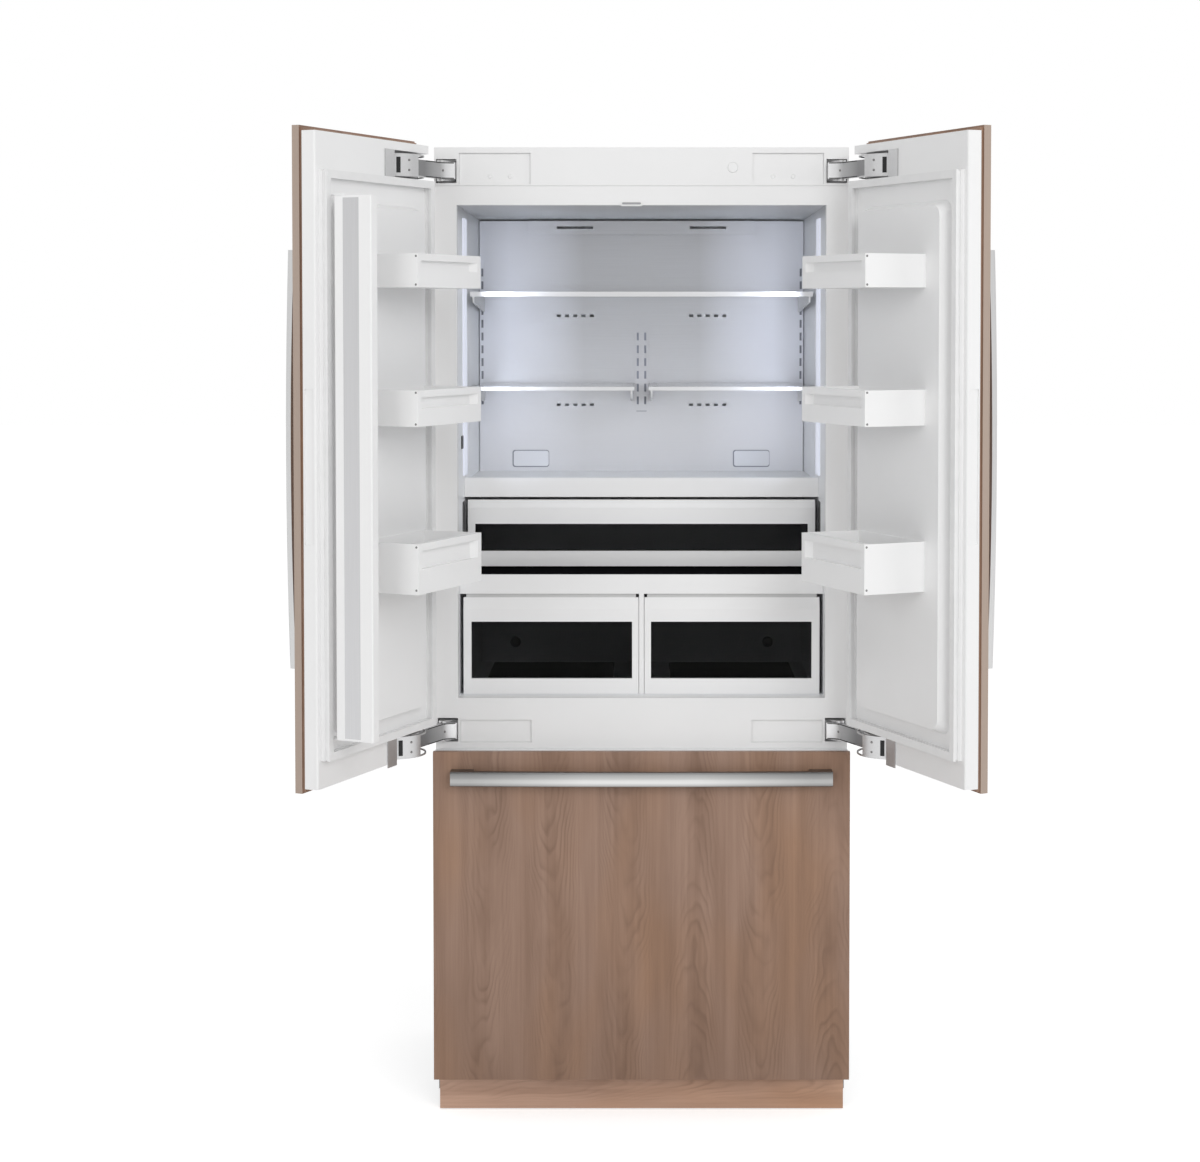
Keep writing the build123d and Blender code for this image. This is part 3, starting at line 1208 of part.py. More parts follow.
# Freezer basket: slotted tub hung from two steel rails, its rim carries the sliding tray
rim_top = SLIDE_LEVEL + SLIDE_HEIGHT / 2
tub_half = slide_inner - SLIDE_GAUGE - SLIDE_GAP
rail_bottom, rail_top = SLIDE_LEVEL - rail_height / 2, SLIDE_LEVEL + rail_height / 2
with BuildPart() as freezer_basket:
    slab((-tub_half, tub_half), (BASKET_FRONT, BASKET_BACK), (BASKET_BOTTOM, rim_top))
    slab(
        (BASKET_WALL - tub_half, tub_half - BASKET_WALL),
        (BASKET_FRONT + BASKET_WALL, BASKET_BACK - BASKET_WALL),
        (BASKET_BOTTOM + BASKET_WALL, rim_top),
        Mode.SUBTRACT,
    )
    slot_pitch = 2 * tub_half / (BASKET_SLOTS + 1)
    with BuildSketch(at_depth(BASKET_FRONT)):
        with Locations((0, (BASKET_BOTTOM + SLIDE_LEVEL) / 2)):
            with GridLocations(slot_pitch, BASKET_SLOT_HEIGHT, BASKET_SLOTS, 1):
                Rectangle(BASKET_SLOT_WIDTH, BASKET_SLOT_HEIGHT)
    extrude(amount=BASKET_FRONT - BASKET_BACK, mode=Mode.SUBTRACT)
    plateau_back = FREEZER_SHELL_FACE + LINER_PLATE + PLATEAU
    for side in both(tub_half - BASKET_WALL, rail_outer):
        slab(side, (plateau_back, SLIDE_FRONT + SLIDE_LENGTH), (rail_bottom, rail_top))

# Freezer tray: slides to the back over the basket's rim
tray_bottom = rim_top + GLIDE
tray_half = tub_half
with BuildPart() as freezer_tray:
    slab((-tray_half, tray_half), (TRAY_FRONT, TRAY_BACK), (tray_bottom, tray_bottom + TRAY_HEIGHT))
    slab(
        (BASKET_WALL - tray_half, tray_half - BASKET_WALL),
        (TRAY_FRONT + BASKET_WALL, TRAY_BACK - BASKET_WALL),
        (tray_bottom + BASKET_WALL, tray_bottom + TRAY_HEIGHT),
        Mode.SUBTRACT,
    )

# Rear cover of the freezer: a tray over the evaporator, with air slots and the fan's mouth
fan_face = Plane(origin=(0, DUCT_FRONT, EVAPORATOR_FAN_LEVEL), z_dir=(0, -1, 0))
cover_half = OPENING_HALF - SLIP
cover_levels = (STEP_TOP + SLIP, FREEZER_CEILING - SLIP)
with BuildPart() as freezer_duct:
    slab((-cover_half, cover_half), (DUCT_FRONT, LINER_BACK - SLIP), cover_levels)
    slab(
        (DUCT_WALL - cover_half, cover_half - DUCT_WALL),
        (DUCT_FRONT + DUCT_WALL, LINER_BACK - SLIP),
        (cover_levels[0] + DUCT_WALL, cover_levels[1] - DUCT_WALL),
        Mode.SUBTRACT,
    )
    with BuildSketch(fan_face):
        Circle(EVAPORATOR_FAN_RADIUS - DUCT_WALL)
        Circle(MOTOR_RADIUS, mode=Mode.SUBTRACT)
        Rectangle(2 * EVAPORATOR_FAN_RADIUS, 2 * DUCT_WALL, mode=Mode.SUBTRACT)
        Rectangle(2 * DUCT_WALL, 2 * EVAPORATOR_FAN_RADIUS, mode=Mode.SUBTRACT)
    extrude(amount=-DUCT_WALL, mode=Mode.SUBTRACT)
    with BuildSketch(at_depth(DUCT_FRONT)):
        with Locations((0, EVAPORATOR_BOTTOM)):
            with GridLocations(2 * VENT_PITCH, 2 * VENT_PITCH, 2 * VENT_SLOTS, 1):
                Rectangle(VENT_SLOT, VENT_PITCH)
    extrude(amount=-DUCT_WALL, mode=Mode.SUBTRACT)
    with BuildSketch(fan_face.offset(-DUCT_WALL)):
        Circle(MOTOR_RADIUS - DUCT_WALL)
    extrude(amount=-2 * DUCT_WALL)
    with BuildSketch(fan_face.offset(-3 * DUCT_WALL)):
        Circle(SHAFT_RADIUS)
    extrude(amount=-HUB_RADIUS)


def fan(plane, radius, length, blades, bore):
    """Add a fan: a bored hub and pitched blades round it, along the plane's normal."""
    with BuildSketch(plane) as hub:
        Circle(HUB_RADIUS)
        Circle(bore, mode=Mode.SUBTRACT)
    extrude(hub.sketch, amount=length)
    middle = plane.offset(length / 2)
    blade_reach = radius - HUB_RADIUS + FIN
    with Locations(middle.location):
        with PolarLocations(HUB_RADIUS - FIN + blade_reach / 2, blades):
            Box(blade_reach, radius / 2, FIN, rotation=(BLADE_PITCH, 0, 0))


with BuildPart() as evaporator_fan:
    fan(
        fan_face.offset(-3 * DUCT_WALL - SLIP), EVAPORATOR_FAN_RADIUS, -HUB_RADIUS, FAN_BLADES,
        SHAFT_RADIUS + PIN_SLACK,
    )


def coil(start, length, count, y_span, z_span):
    """Add a finned coil along X: even fins on a middle web, inlet and outlet tubes at its start."""
    pitch = (length - FIN) / (count - 1)
    for index in range(count):
        fin_x = start + index * pitch
        slab((fin_x, fin_x + FIN), y_span, z_span)
    y_middle, z_middle = sum(y_span) / 2, sum(z_span) / 2
    slab((start, start + length), (y_middle - FIN, y_middle + FIN), z_span)
    with BuildSketch(Plane.YZ.offset(start)) as tubes:
        with Locations((y_middle, z_middle)):
            with GridLocations(0, (z_span[1] - z_span[0]) / 2, 1, 2):
                Circle(TUBE_RADIUS)
    extrude(tubes.sketch, amount=-2 * TUBE_RADIUS)


evaporator_y = (DUCT_FRONT + DUCT_WALL + REVEAL, LINER_BACK - SLIP)
with BuildPart() as evaporator:
    coil(
        -EVAPORATOR_HALF, 2 * EVAPORATOR_HALF, EVAPORATOR_FINS, evaporator_y,
        (EVAPORATOR_BOTTOM + VENT_PITCH, EVAPORATOR_TOP),
    )

# Base: folded steel pan, bulkhead and roof of the machine compartment, foot plates, fan wall
base_half = SIDE_INSIDE
pan_top = BASE_FLANGE_BOTTOM + STEEL
fan_axis = (CONDENSER_FRONT + CONDENSER_DEPTH / 2, pan_top + COMPRESSOR_FOOT + FAN_RADIUS + REVEAL)
with BuildPart() as base_frame:
    slab((-base_half, base_half), (FACE_DEPTH, MACHINE_FRONT), (BOX_BOTTOM - STEEL, BOX_BOTTOM))
    for side in both(base_half - STEEL, base_half):
        slab(side, (FACE_DEPTH, BACK_INSIDE), (BASE_FLANGE_BOTTOM, BOX_BOTTOM))
    slab((-base_half, base_half), (FACE_DEPTH, FACE_DEPTH + STEEL), (BASE_FLANGE_BOTTOM, BOX_BOTTOM))
    back_plate = (MACHINE_FRONT, MACHINE_FRONT + STEEL)
    slab((-LINER_OUTER, LINER_OUTER), back_plate, (BASE_FLANGE_BOTTOM, MACHINE_TOP))
    slab((-LINER_OUTER, LINER_OUTER), (MACHINE_FRONT, BACK_INSIDE), (MACHINE_TOP - STEEL, MACHINE_TOP))
    slab((-base_half, base_half), (MACHINE_FRONT, BACK_INSIDE), (BASE_FLANGE_BOTTOM, pan_top))
    for side in both(FOOT_X - FOOT_RADIUS, base_half):
        slab(
            side,
            (FACE_DEPTH, FOOT_FRONT + 2 * FOOT_RADIUS),
            (BASE_FLANGE_BOTTOM, BASE_FLANGE_BOTTOM + FOOT_PLATE),
        )
    slab(
        (FAN_X, FAN_X + FAN_WALL),
        (MACHINE_FRONT + STEEL, BACK_INSIDE - STEEL),
        (pan_top, fan_axis[1] + FAN_RADIUS + 2 * FAN_WALL),
    )
    with BuildSketch(Plane.YZ.offset(FAN_X)):
        with Locations(fan_axis):
            Circle(FAN_RADIUS)
            Rectangle(2 * FAN_RADIUS, 2 * SHAFT_RADIUS, mode=Mode.SUBTRACT)
    extrude(amount=FAN_WALL, mode=Mode.SUBTRACT)
    with BuildSketch(Plane.YZ.offset(FAN_X + FAN_WALL)):
        with Locations(fan_axis):
            Circle(MOTOR_RADIUS)
    extrude(amount=MOTOR_LENGTH)
    with BuildSketch(Plane.YZ.offset(FAN_X)):
        with Locations(fan_axis):
            Circle(MOTOR_RADIUS)
    extrude(amount=FAN_WALL)
    with BuildSketch(Plane.YZ.offset(FAN_X)):
        with Locations(fan_axis):
            Circle(SHAFT_RADIUS)
    extrude(amount=-HUB_RADIUS)
    for y in (FOOT_FRONT, FOOT_BACK):
        for x in (-FOOT_X, FOOT_X):
            with Locations((x, y, BASE_FLANGE_BOTTOM + FOOT_PLATE)):
                Hole(STUD_RADIUS + PIN_SLACK, depth=2 * FOOT_PLATE)
with BuildPart() as condenser_fan:
    fan_plane = Plane(origin=(FAN_X - REVEAL, *fan_axis), x_dir=(0, 1, 0), z_dir=(1, 0, 0))
    fan(fan_plane, FAN_RADIUS - 2 * REVEAL, -HUB_RADIUS, FAN_BLADES, SHAFT_RADIUS + PIN_SLACK)
with BuildPart() as levelling_feet:
    for y in (FOOT_FRONT, FOOT_BACK):
        for x in (-FOOT_X, FOOT_X):
            with BuildSketch(Plane.XY):
                with Locations((x, y)):
                    Circle(FOOT_RADIUS)
            extrude(amount=FOOT_HEIGHT, taper=FOOT_TAPER)
            with BuildSketch(Plane.XY.offset(FOOT_HEIGHT)):
                with Locations((x, y)):
                    Circle(STUD_RADIUS)
            extrude(amount=STUD_TOP - FOOT_HEIGHT)
            with BuildSketch(Plane.XY.offset(BASE_FLANGE_BOTTOM)):
                with Locations((x, y)):
                    RegularPolygon(2 * STUD_RADIUS, 6)
            extrude(amount=-STUD_RADIUS)
with BuildPart() as toe_kick:
    slab((-TOE_HALF, TOE_HALF), (TOE_FRONT, FACE_DEPTH), (TOE_CLEARANCE, FREEZER_PANEL_BOTTOM - SLIP))

# Compressor: a domed steel pot on a foot plate with square rubber feet
compressor_y = MACHINE_FRONT + STEEL + REVEAL + COMPRESSOR_RADIUS
with BuildPart() as compressor:
    with BuildSketch(Plane.XY.offset(pan_top)):
        with Locations((COMPRESSOR_X, compressor_y)):
            with GridLocations(*COMPRESSOR_STUDS, 2, 2):
                Rectangle(2 * COMPRESSOR_FOOT, 2 * COMPRESSOR_FOOT)
    extrude(amount=COMPRESSOR_FOOT)
    with BuildSketch(Plane.XY.offset(pan_top + COMPRESSOR_FOOT)):
        with Locations((COMPRESSOR_X, compressor_y)):
            Rectangle(*COMPRESSOR_PLATE)
    extrude(amount=2 * STEEL)
    pot_bottom = pan_top + COMPRESSOR_FOOT + 2 * STEEL
    with BuildSketch(Plane.XY.offset(pot_bottom)):
        with Locations((COMPRESSOR_X, compressor_y)):
            Circle(COMPRESSOR_RADIUS)
    extrude(amount=COMPRESSOR_HEIGHT - sum(rise for rise, _ in COMPRESSOR_SHOULDERS))
    for rise, slope in COMPRESSOR_SHOULDERS:
        extrude(compressor.faces().sort_by(Axis.Z)[-1], amount=rise, taper=slope)

with BuildPart() as condenser:
    coil(
        CONDENSER_START, CONDENSER_LENGTH, CONDENSER_FINS,
        (CONDENSER_FRONT, CONDENSER_FRONT + CONDENSER_DEPTH), (pan_top, pan_top + CONDENSER_HEIGHT),
    )

# Rear cover of the machine compartment, with air slots and the bush for a supply cord
with BuildPart() as machine_cover:
    slab((-LINER_OUTER, LINER_OUTER), (BACK_INSIDE, DEPTH), (pan_top, MACHINE_TOP - SLIP))
    with BuildSketch(at_depth(BACK_INSIDE)):
        for x in (COMPRESSOR_X, CONDENSER_START + CONDENSER_LENGTH / 2 - VENT_PITCH):
            with Locations((x, (pan_top + MACHINE_TOP) / 2)):
                with GridLocations(VENT_PITCH, 1, 2 * VENT_SLOTS, 1):
                    Rectangle(VENT_HEIGHT, COMPRESSOR_HEIGHT / 2)
    extrude(amount=-STEEL, mode=Mode.SUBTRACT)
    gland = Plane(origin=(GLAND_X, DEPTH, GLAND_LEVEL), z_dir=(0, 1, 0))
    with BuildSketch(gland):
        Circle(GLAND_RADIUS)
    extrude(amount=-GLAND_LENGTH)
    with Locations(gland.location):
        Hole(GLAND_BORE, depth=GLAND_LENGTH)


def mirrored(piece):
    """The same piece on the right-hand side."""
    return mirror(piece, about=Plane.YZ)


def at_hinges(*pieces):
    """Copies of a hinge's pieces at both hinge levels."""
    return [piece.moved(Location((0, 0, level))) for level in HINGE_HEIGHTS for piece in pieces]


# Cabinet nodes
nodes = {
    "casing": [*casing_sheets, anti_tip_brackets.part],
    "insulation": insulation_blocks,
    "fridge_liner": [fridge_liner.part],
    "freezer_liner": [freezer_liner.part],
    "front_frame": [left_stile.part, mirrored(left_stile.part), front_rails.part, mullion_guide.part],
    "upper_fascia": [upper_fascia.part],
    "hinge_covers": [hinge_covers.part, cover_caps.part],
    "duct_panel": [duct_panel.part],
    "shelf_rails": [shelf_rails.part],
    "shelf_glass": [shelf_glass.part],
    "shelf_frames": [shelf_frames.part],
    "deck": [deck.part],
    "crisper_rail": [crisper_rail.part],
    "touch_panel": [touch_panel.part],
    "light_strips": [light_strips.part],
    "base_frame": [base_frame.part],
    "levelling_feet": [levelling_feet.part],
    "toe_kick": [toe_kick.part],
    "compressor": [compressor.part],
    "condenser": [condenser.part],
    "condenser_fan": [condenser_fan.part],
    "machine_cover": [machine_cover.part],
    "evaporator": [evaporator.part],
    "evaporator_fan": [evaporator_fan.part],
    "control_board": [control_board.part],
    "power_button": [power_button.part],
    "freezer_slides": [freezer_slides.part],
    "freezer_runners": [freezer_runners.part],
    "freezer_duct": [freezer_duct.part],
    "freezer_panel": [freezer_panel.part],
    "freezer_shell": [freezer_shell.part],
    "freezer_gasket": [freezer_gasket.part],
    "freezer_handle": [freezer_handle.part],
    "freezer_basket": [freezer_basket.part],
    "freezer_tray": [freezer_tray.part],
    "wide_drawer": [wide_drawer.part],
    "wide_window": [wide_window.part],
    "right_crisper": [right_crisper.part],
    "right_crisper_window": [right_crisper_window.part],
    "left_crisper": [mirrored(right_crisper.part)],
    "left_crisper_window": [mirrored(right_crisper_window.part)],
}

# Hinge nodes: brackets on the cabinet for both doors, arms for each door
left_brackets = at_hinges(bracket.part, bracket_pin.part)
nodes["hinge_brackets"] = left_brackets + [mirrored(piece) for piece in left_brackets]
nodes["left_hinge_arms"] = at_hinges(arm.part)
nodes["right_hinge_arms"] = [mirrored(piece) for piece in at_hinges(arm.part)]

# Door nodes: drawn in the door's own frame, hung on the left and mirrored to the right
door_pieces = {
    "door_panel": [door_panel.part],
    "door_shell": [door_shell.part],
    "door_liner": [door_liner.part],
    "door_gasket": [door_gasket.part],
    "door_bins": [door_bins.part],
    "door_handle": [door_handle.part],
    "hinge_housings": at_hinges(housing.part),
}
for name, pieces in door_pieces.items():
    hung = [piece.moved(LEFT_DOOR.location) for piece in pieces]
    nodes["left_" + name] = hung
    nodes["right_" + name] = [mirrored(piece) for piece in hung]
nodes["left_door_liner"] += [mullion_ears.part.moved(LEFT_DOOR.location)]
nodes["mullion"] = [mullion.part.moved(LEFT_DOOR.location)]
nodes["mullion_plate"] = [mullion_plate.part.moved(LEFT_DOOR.location)]

os.makedirs("parts", exist_ok=True)
for name, pieces in nodes.items():
    solids = [solid for piece in pieces for solid in piece.solids()]
    node = solids[0] if len(solids) == 1 else Compound(solids)
    node.label = name
    export_step(node, f"parts/{name}.step")
print(len(nodes), "nodes written")
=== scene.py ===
from math import radians

import bmesh
import bpy
from bpy.props import FloatProperty, FloatVectorProperty, PointerProperty
from mathutils import Matrix, Vector


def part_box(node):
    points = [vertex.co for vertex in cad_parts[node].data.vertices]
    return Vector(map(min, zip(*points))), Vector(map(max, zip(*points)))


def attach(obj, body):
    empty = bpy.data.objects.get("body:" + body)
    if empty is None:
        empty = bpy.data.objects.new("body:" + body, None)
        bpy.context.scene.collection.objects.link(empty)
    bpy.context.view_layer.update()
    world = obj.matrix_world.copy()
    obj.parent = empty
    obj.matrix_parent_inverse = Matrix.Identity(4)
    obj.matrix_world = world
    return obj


bl_info = {
    "name": "Built-in refrigerator finishes",
    "version": (1, 0, 0),
    "blender": (4, 5, 0),
    "location": "View3D > Sidebar > Refrigerator",
    "description": "Finishes, small trim and studio of a panel-ready bottom freezer refrigerator",
    "category": "Object",
}

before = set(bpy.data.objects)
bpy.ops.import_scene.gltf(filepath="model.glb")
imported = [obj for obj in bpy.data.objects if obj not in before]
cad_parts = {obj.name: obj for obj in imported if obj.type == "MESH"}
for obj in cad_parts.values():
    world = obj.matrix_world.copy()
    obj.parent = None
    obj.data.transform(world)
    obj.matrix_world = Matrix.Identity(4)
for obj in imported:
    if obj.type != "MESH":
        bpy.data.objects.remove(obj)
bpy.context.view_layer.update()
DOOR_SWING = radians(114)

# The photograph's lens: its place in metres, its tilt down in degrees and its picture's shift
LENS = (0, -4.7693, 1.7663)
TILT, SHIFT = 1.9707, (-0.03458, -0.15901)

# Heights of the hinges' middles, where the right ones' pins stand, and the freezer handle's height
HINGE_LEVELS = (0.852, 2.082)
HINGE_PIN = (0.4374, -0.0107)
BAR_LEVEL = 0.7635

# The way from the front into the cabinet, and where trim starts, just under the face it sits on
INWARD = (0, 1, 0)
SEATED = -0.0003

# Grain of metals as noise scales, small along the brushing, and its depth and strength
BRUSHED_UP, BRUSHED_ACROSS, BRUSHED_INWARD = (900, 900, 6), (6, 900, 900), (900, 6, 900)
CAST = (300, 300, 300)
BRUSH_DEPTH, BRUSH_STRENGTH = 0.00002, 0.6

# Headings from the lens to the pins of the left door's bins; the right door's are mirrored
BIN_PINS = (
    (-0.1031, 0.9943, 0.0272),
    (-0.1032, 0.9946, 0.0141),
    (-0.1033, 0.994, -0.0354),
    (-0.1033, 0.9934, -0.0499),
    (-0.1028, 0.989, -0.1059),
    (-0.1026, 0.9868, -0.1254),
)


def colour(name, description, value):
    """A colour that the panel shows."""
    return FloatVectorProperty(
        name=name, description=description, subtype="COLOR", size=3, min=0, max=1, default=value
    )


def distance(name, description, value):
    """A length that the panel shows."""
    return FloatProperty(
        name=name, description=description, subtype="DISTANCE", unit="LENGTH", default=value
    )


def strength(name, description, value):
    """A plain number that the panel shows."""
    return FloatProperty(name=name, description=description, min=0, default=value)


class FinishSettings(bpy.types.PropertyGroup):
    """Colours of the visible surfaces."""

    wood: colour("Wood", "Pale wood between the grain lines", (0.376, 0.246, 0.184))
    grain: colour("Grain", "Dark wood of the grain lines", (0.148, 0.086, 0.057))
    enamel: colour("Enamel", "White of the frame, deck and freezer door", (0.87, 0.87, 0.87))
    band: colour("Edge band", "Pale banding on the panels' edges", (0.46, 0.365, 0.305))
    door_white: colour("Door white", "White of the doors' shells and liners", (0.885, 0.885, 0.885))
    moulding: colour("Moulding", "White of the bins and drawer fronts", (0.90, 0.90, 0.90))
    liner: colour("Liner", "White of the cabinet's inner walls", (0.92, 0.93, 0.95))
    steel: colour("Steel", "Plated steel of the slides and rivets", (0.56, 0.55, 0.545))
    back_steel: colour("Back wall", "Brushed steel of the cabinet's back wall", (0.53, 0.53, 0.54))
    plate_steel: colour("Mullion plate", "Pale steel of the mullion's plate", (0.60, 0.60, 0.61))
    nickel: colour("Nickel", "Plated steel of the hinges", (0.62, 0.62, 0.625))
    handle_steel: colour(
        "Upright handles", "Polished steel of the door handles", (0.62, 0.62, 0.62)
    )
    gasket: colour("Gasket", "Soft seal of the doors", (0.86, 0.86, 0.86))


class StudioSettings(bpy.types.PropertyGroup):
    """Light and camera."""

    ambient: strength("Ambient", "Strength of the even light from all sides", 0.58)
    key: strength("Key", "Power of the large high light in watts", 200)
    glow: strength("Glow", "Power of each light strip's glow in watts", 0.5)
    lens: strength("Lens", "Focal length in millimetres", 65.19)
    height: distance("Camera height", "Height of the lens over the floor", LENS[2])
    reach: distance("Camera distance", "From the lens to the frame's front face", -LENS[1])


class Finish:
    """A material under construction, with short ways to add and join its nodes."""

    def __init__(self, name, base, roughness, metallic=0.0, **sockets):
        self.material = bpy.data.materials.new(name)
        self.material.use_nodes = True
        self.tree = self.material.node_tree
        self.shader = self.tree.nodes["Principled BSDF"]
        self.shader.inputs["Base Color"].default_value = (*base, 1)
        self.shader.inputs["Roughness"].default_value = roughness
        self.shader.inputs["Metallic"].default_value = metallic
        for socket, value in sockets.items():
            self.shader.inputs[socket].default_value = value

    def node(self, kind, inputs=(), **settings):
        """Add a node, give it settings, and fill or join its inputs by name or place."""
        made = self.tree.nodes.new(kind)
        for name, value in settings.items():
            setattr(made, name, value)
        for key, value in dict(inputs).items():
            if isinstance(value, bpy.types.NodeSocket):
                self.tree.links.new(value, made.inputs[key])
            else:
                made.inputs[key].default_value = value
        return made

    def place(self, scale=(1, 1, 1), turn=0.0, shift=(0, 0, 0)):
        """Object coordinates in metres, turned about the upright axis, shifted and stretched."""
        coordinates = self.node("ShaderNodeTexCoord").outputs["Object"]
        moved = self.node(
            "ShaderNodeMapping",
            {"Vector": coordinates, "Rotation": (0, 0, turn), "Location": shift},
        ).outputs[0]
        return self.node("ShaderNodeMapping", {"Vector": moved, "Scale": scale}).outputs[0]

    def split(self, where):
        """The three parts of a place, named X, Y and Z."""
        return self.node("ShaderNodeSeparateXYZ", {"Vector": where}).outputs

    def noise(self, where, scale, detail=2.0, roughness=0.5):
        """Smooth noise from 0 to 1."""
        return self.node(
            "ShaderNodeTexNoise",
            {"Vector": where, "Scale": scale, "Detail": detail, "Roughness": roughness},
        ).outputs["Fac"]

    def math(self, operation, *values):
        """One step of arithmetic."""
        return self.node("ShaderNodeMath", dict(enumerate(values)), operation=operation).outputs[0]

    def spread(self, value, low, high, start=0.0, end=1.0):
        """Map a value from one range to another."""
        inputs = {"Value": value, "From Min": start, "From Max": end, "To Min": low, "To Max": high}
        return self.node("ShaderNodeMapRange", inputs).outputs[0]

    def mix(self, share, first, second):
        """Mix two colours, through the sockets that the mix node keeps for colours."""
        first, second = (
            tone if isinstance(tone, bpy.types.NodeSocket) else (*tone, 1)
            for tone in (first, second)
        )
        inputs = {0: share, 6: first, 7: second}
        return self.node("ShaderNodeMix", inputs, data_type="RGBA").outputs[2]

    def ramp(self, share, *stops):
        """A colour ramp through stops of place and colour."""
        made = self.node("ShaderNodeValToRGB", {"Fac": share})
        elements = made.color_ramp.elements
        while len(elements) < len(stops):
            elements.new(1)
        for element, (place, tone) in zip(elements, stops):
            element.position = place
            element.color = (*tone, 1)
        return made.outputs["Color"]

    def join(self, socket, value):
        """Join a value to the shader."""
        self.tree.links.new(value, self.shader.inputs[socket])

    def under(self, socket):
        """What is joined to the shader so far."""
        return self.shader.inputs[socket].links[0].from_socket

    def bump(self, height, depth, strength=1.0):
        """Raise the surface by a height from 0 to 1 times a depth in metres."""
        inputs = {"Height": height, "Distance": depth, "Strength": strength}
        self.join("Normal", self.node("ShaderNodeBump", inputs).outputs["Normal"])


def shade(tone, factor):
    """A colour made lighter or darker."""
    return tuple(min(1.0, part * factor) for part in tone)


def dress(finish, *names):
    """Give CAD nodes a finished material."""
    for name in names:
        for material_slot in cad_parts[name].material_slots:
            material_slot.material = finish.material


def enamel_finish(name, tone, roughness=0.32, peel=0.00004):
    """Smooth coated surface with a faint orange peel and uneven gloss."""
    made = Finish(name, tone, roughness, **{"Specular IOR Level": 0.45})
    where = made.place()
    cloud = made.noise(where, 5, 3)
    made.join("Base Color", made.mix(cloud, shade(tone, 0.975), shade(tone, 1.02)))
    gloss = made.noise(where, 40, 4)
    made.join("Roughness", made.spread(gloss, roughness - 0.05, roughness + 0.07))
    made.bump(made.noise(where, 900, 2), peel)
    return made


def moulded_finish(name, tone, roughness=0.42):
    """Moulded plastic with a fine spark-eroded grain."""
    made = Finish(name, tone, roughness, **{"Specular IOR Level": 0.4})
    where = made.place()
    cloud = made.noise(where, 7, 3)
    made.join("Base Color", made.mix(cloud, shade(tone, 0.97), shade(tone, 1.02)))
    gloss = made.noise(where, 130, 3)
    made.join("Roughness", made.spread(gloss, roughness - 0.05, roughness + 0.06))
    made.bump(made.noise(where, 1600, 3, 0.7), 0.00005)
    return made


def brushed_finish(name, tone, stretch, roughness=0.3):
    """Metal brushed along one direction; stretch is small along the brushing."""
    made = Finish(name, tone, roughness, 1.0)
    streak = made.noise(made.place(stretch), 1, 4, 0.65)
    cloud = made.noise(made.place(), 3, 2)
    tinted = made.mix(streak, shade(tone, 0.86), shade(tone, 1.1))
    made.join("Base Color", made.mix(made.spread(cloud, 0, 0.12), tinted, shade(tone, 0.8)))
    made.join("Roughness", made.spread(streak, roughness - 0.08, roughness + 0.12))
    made.bump(streak, BRUSH_DEPTH, BRUSH_STRENGTH)
    return made


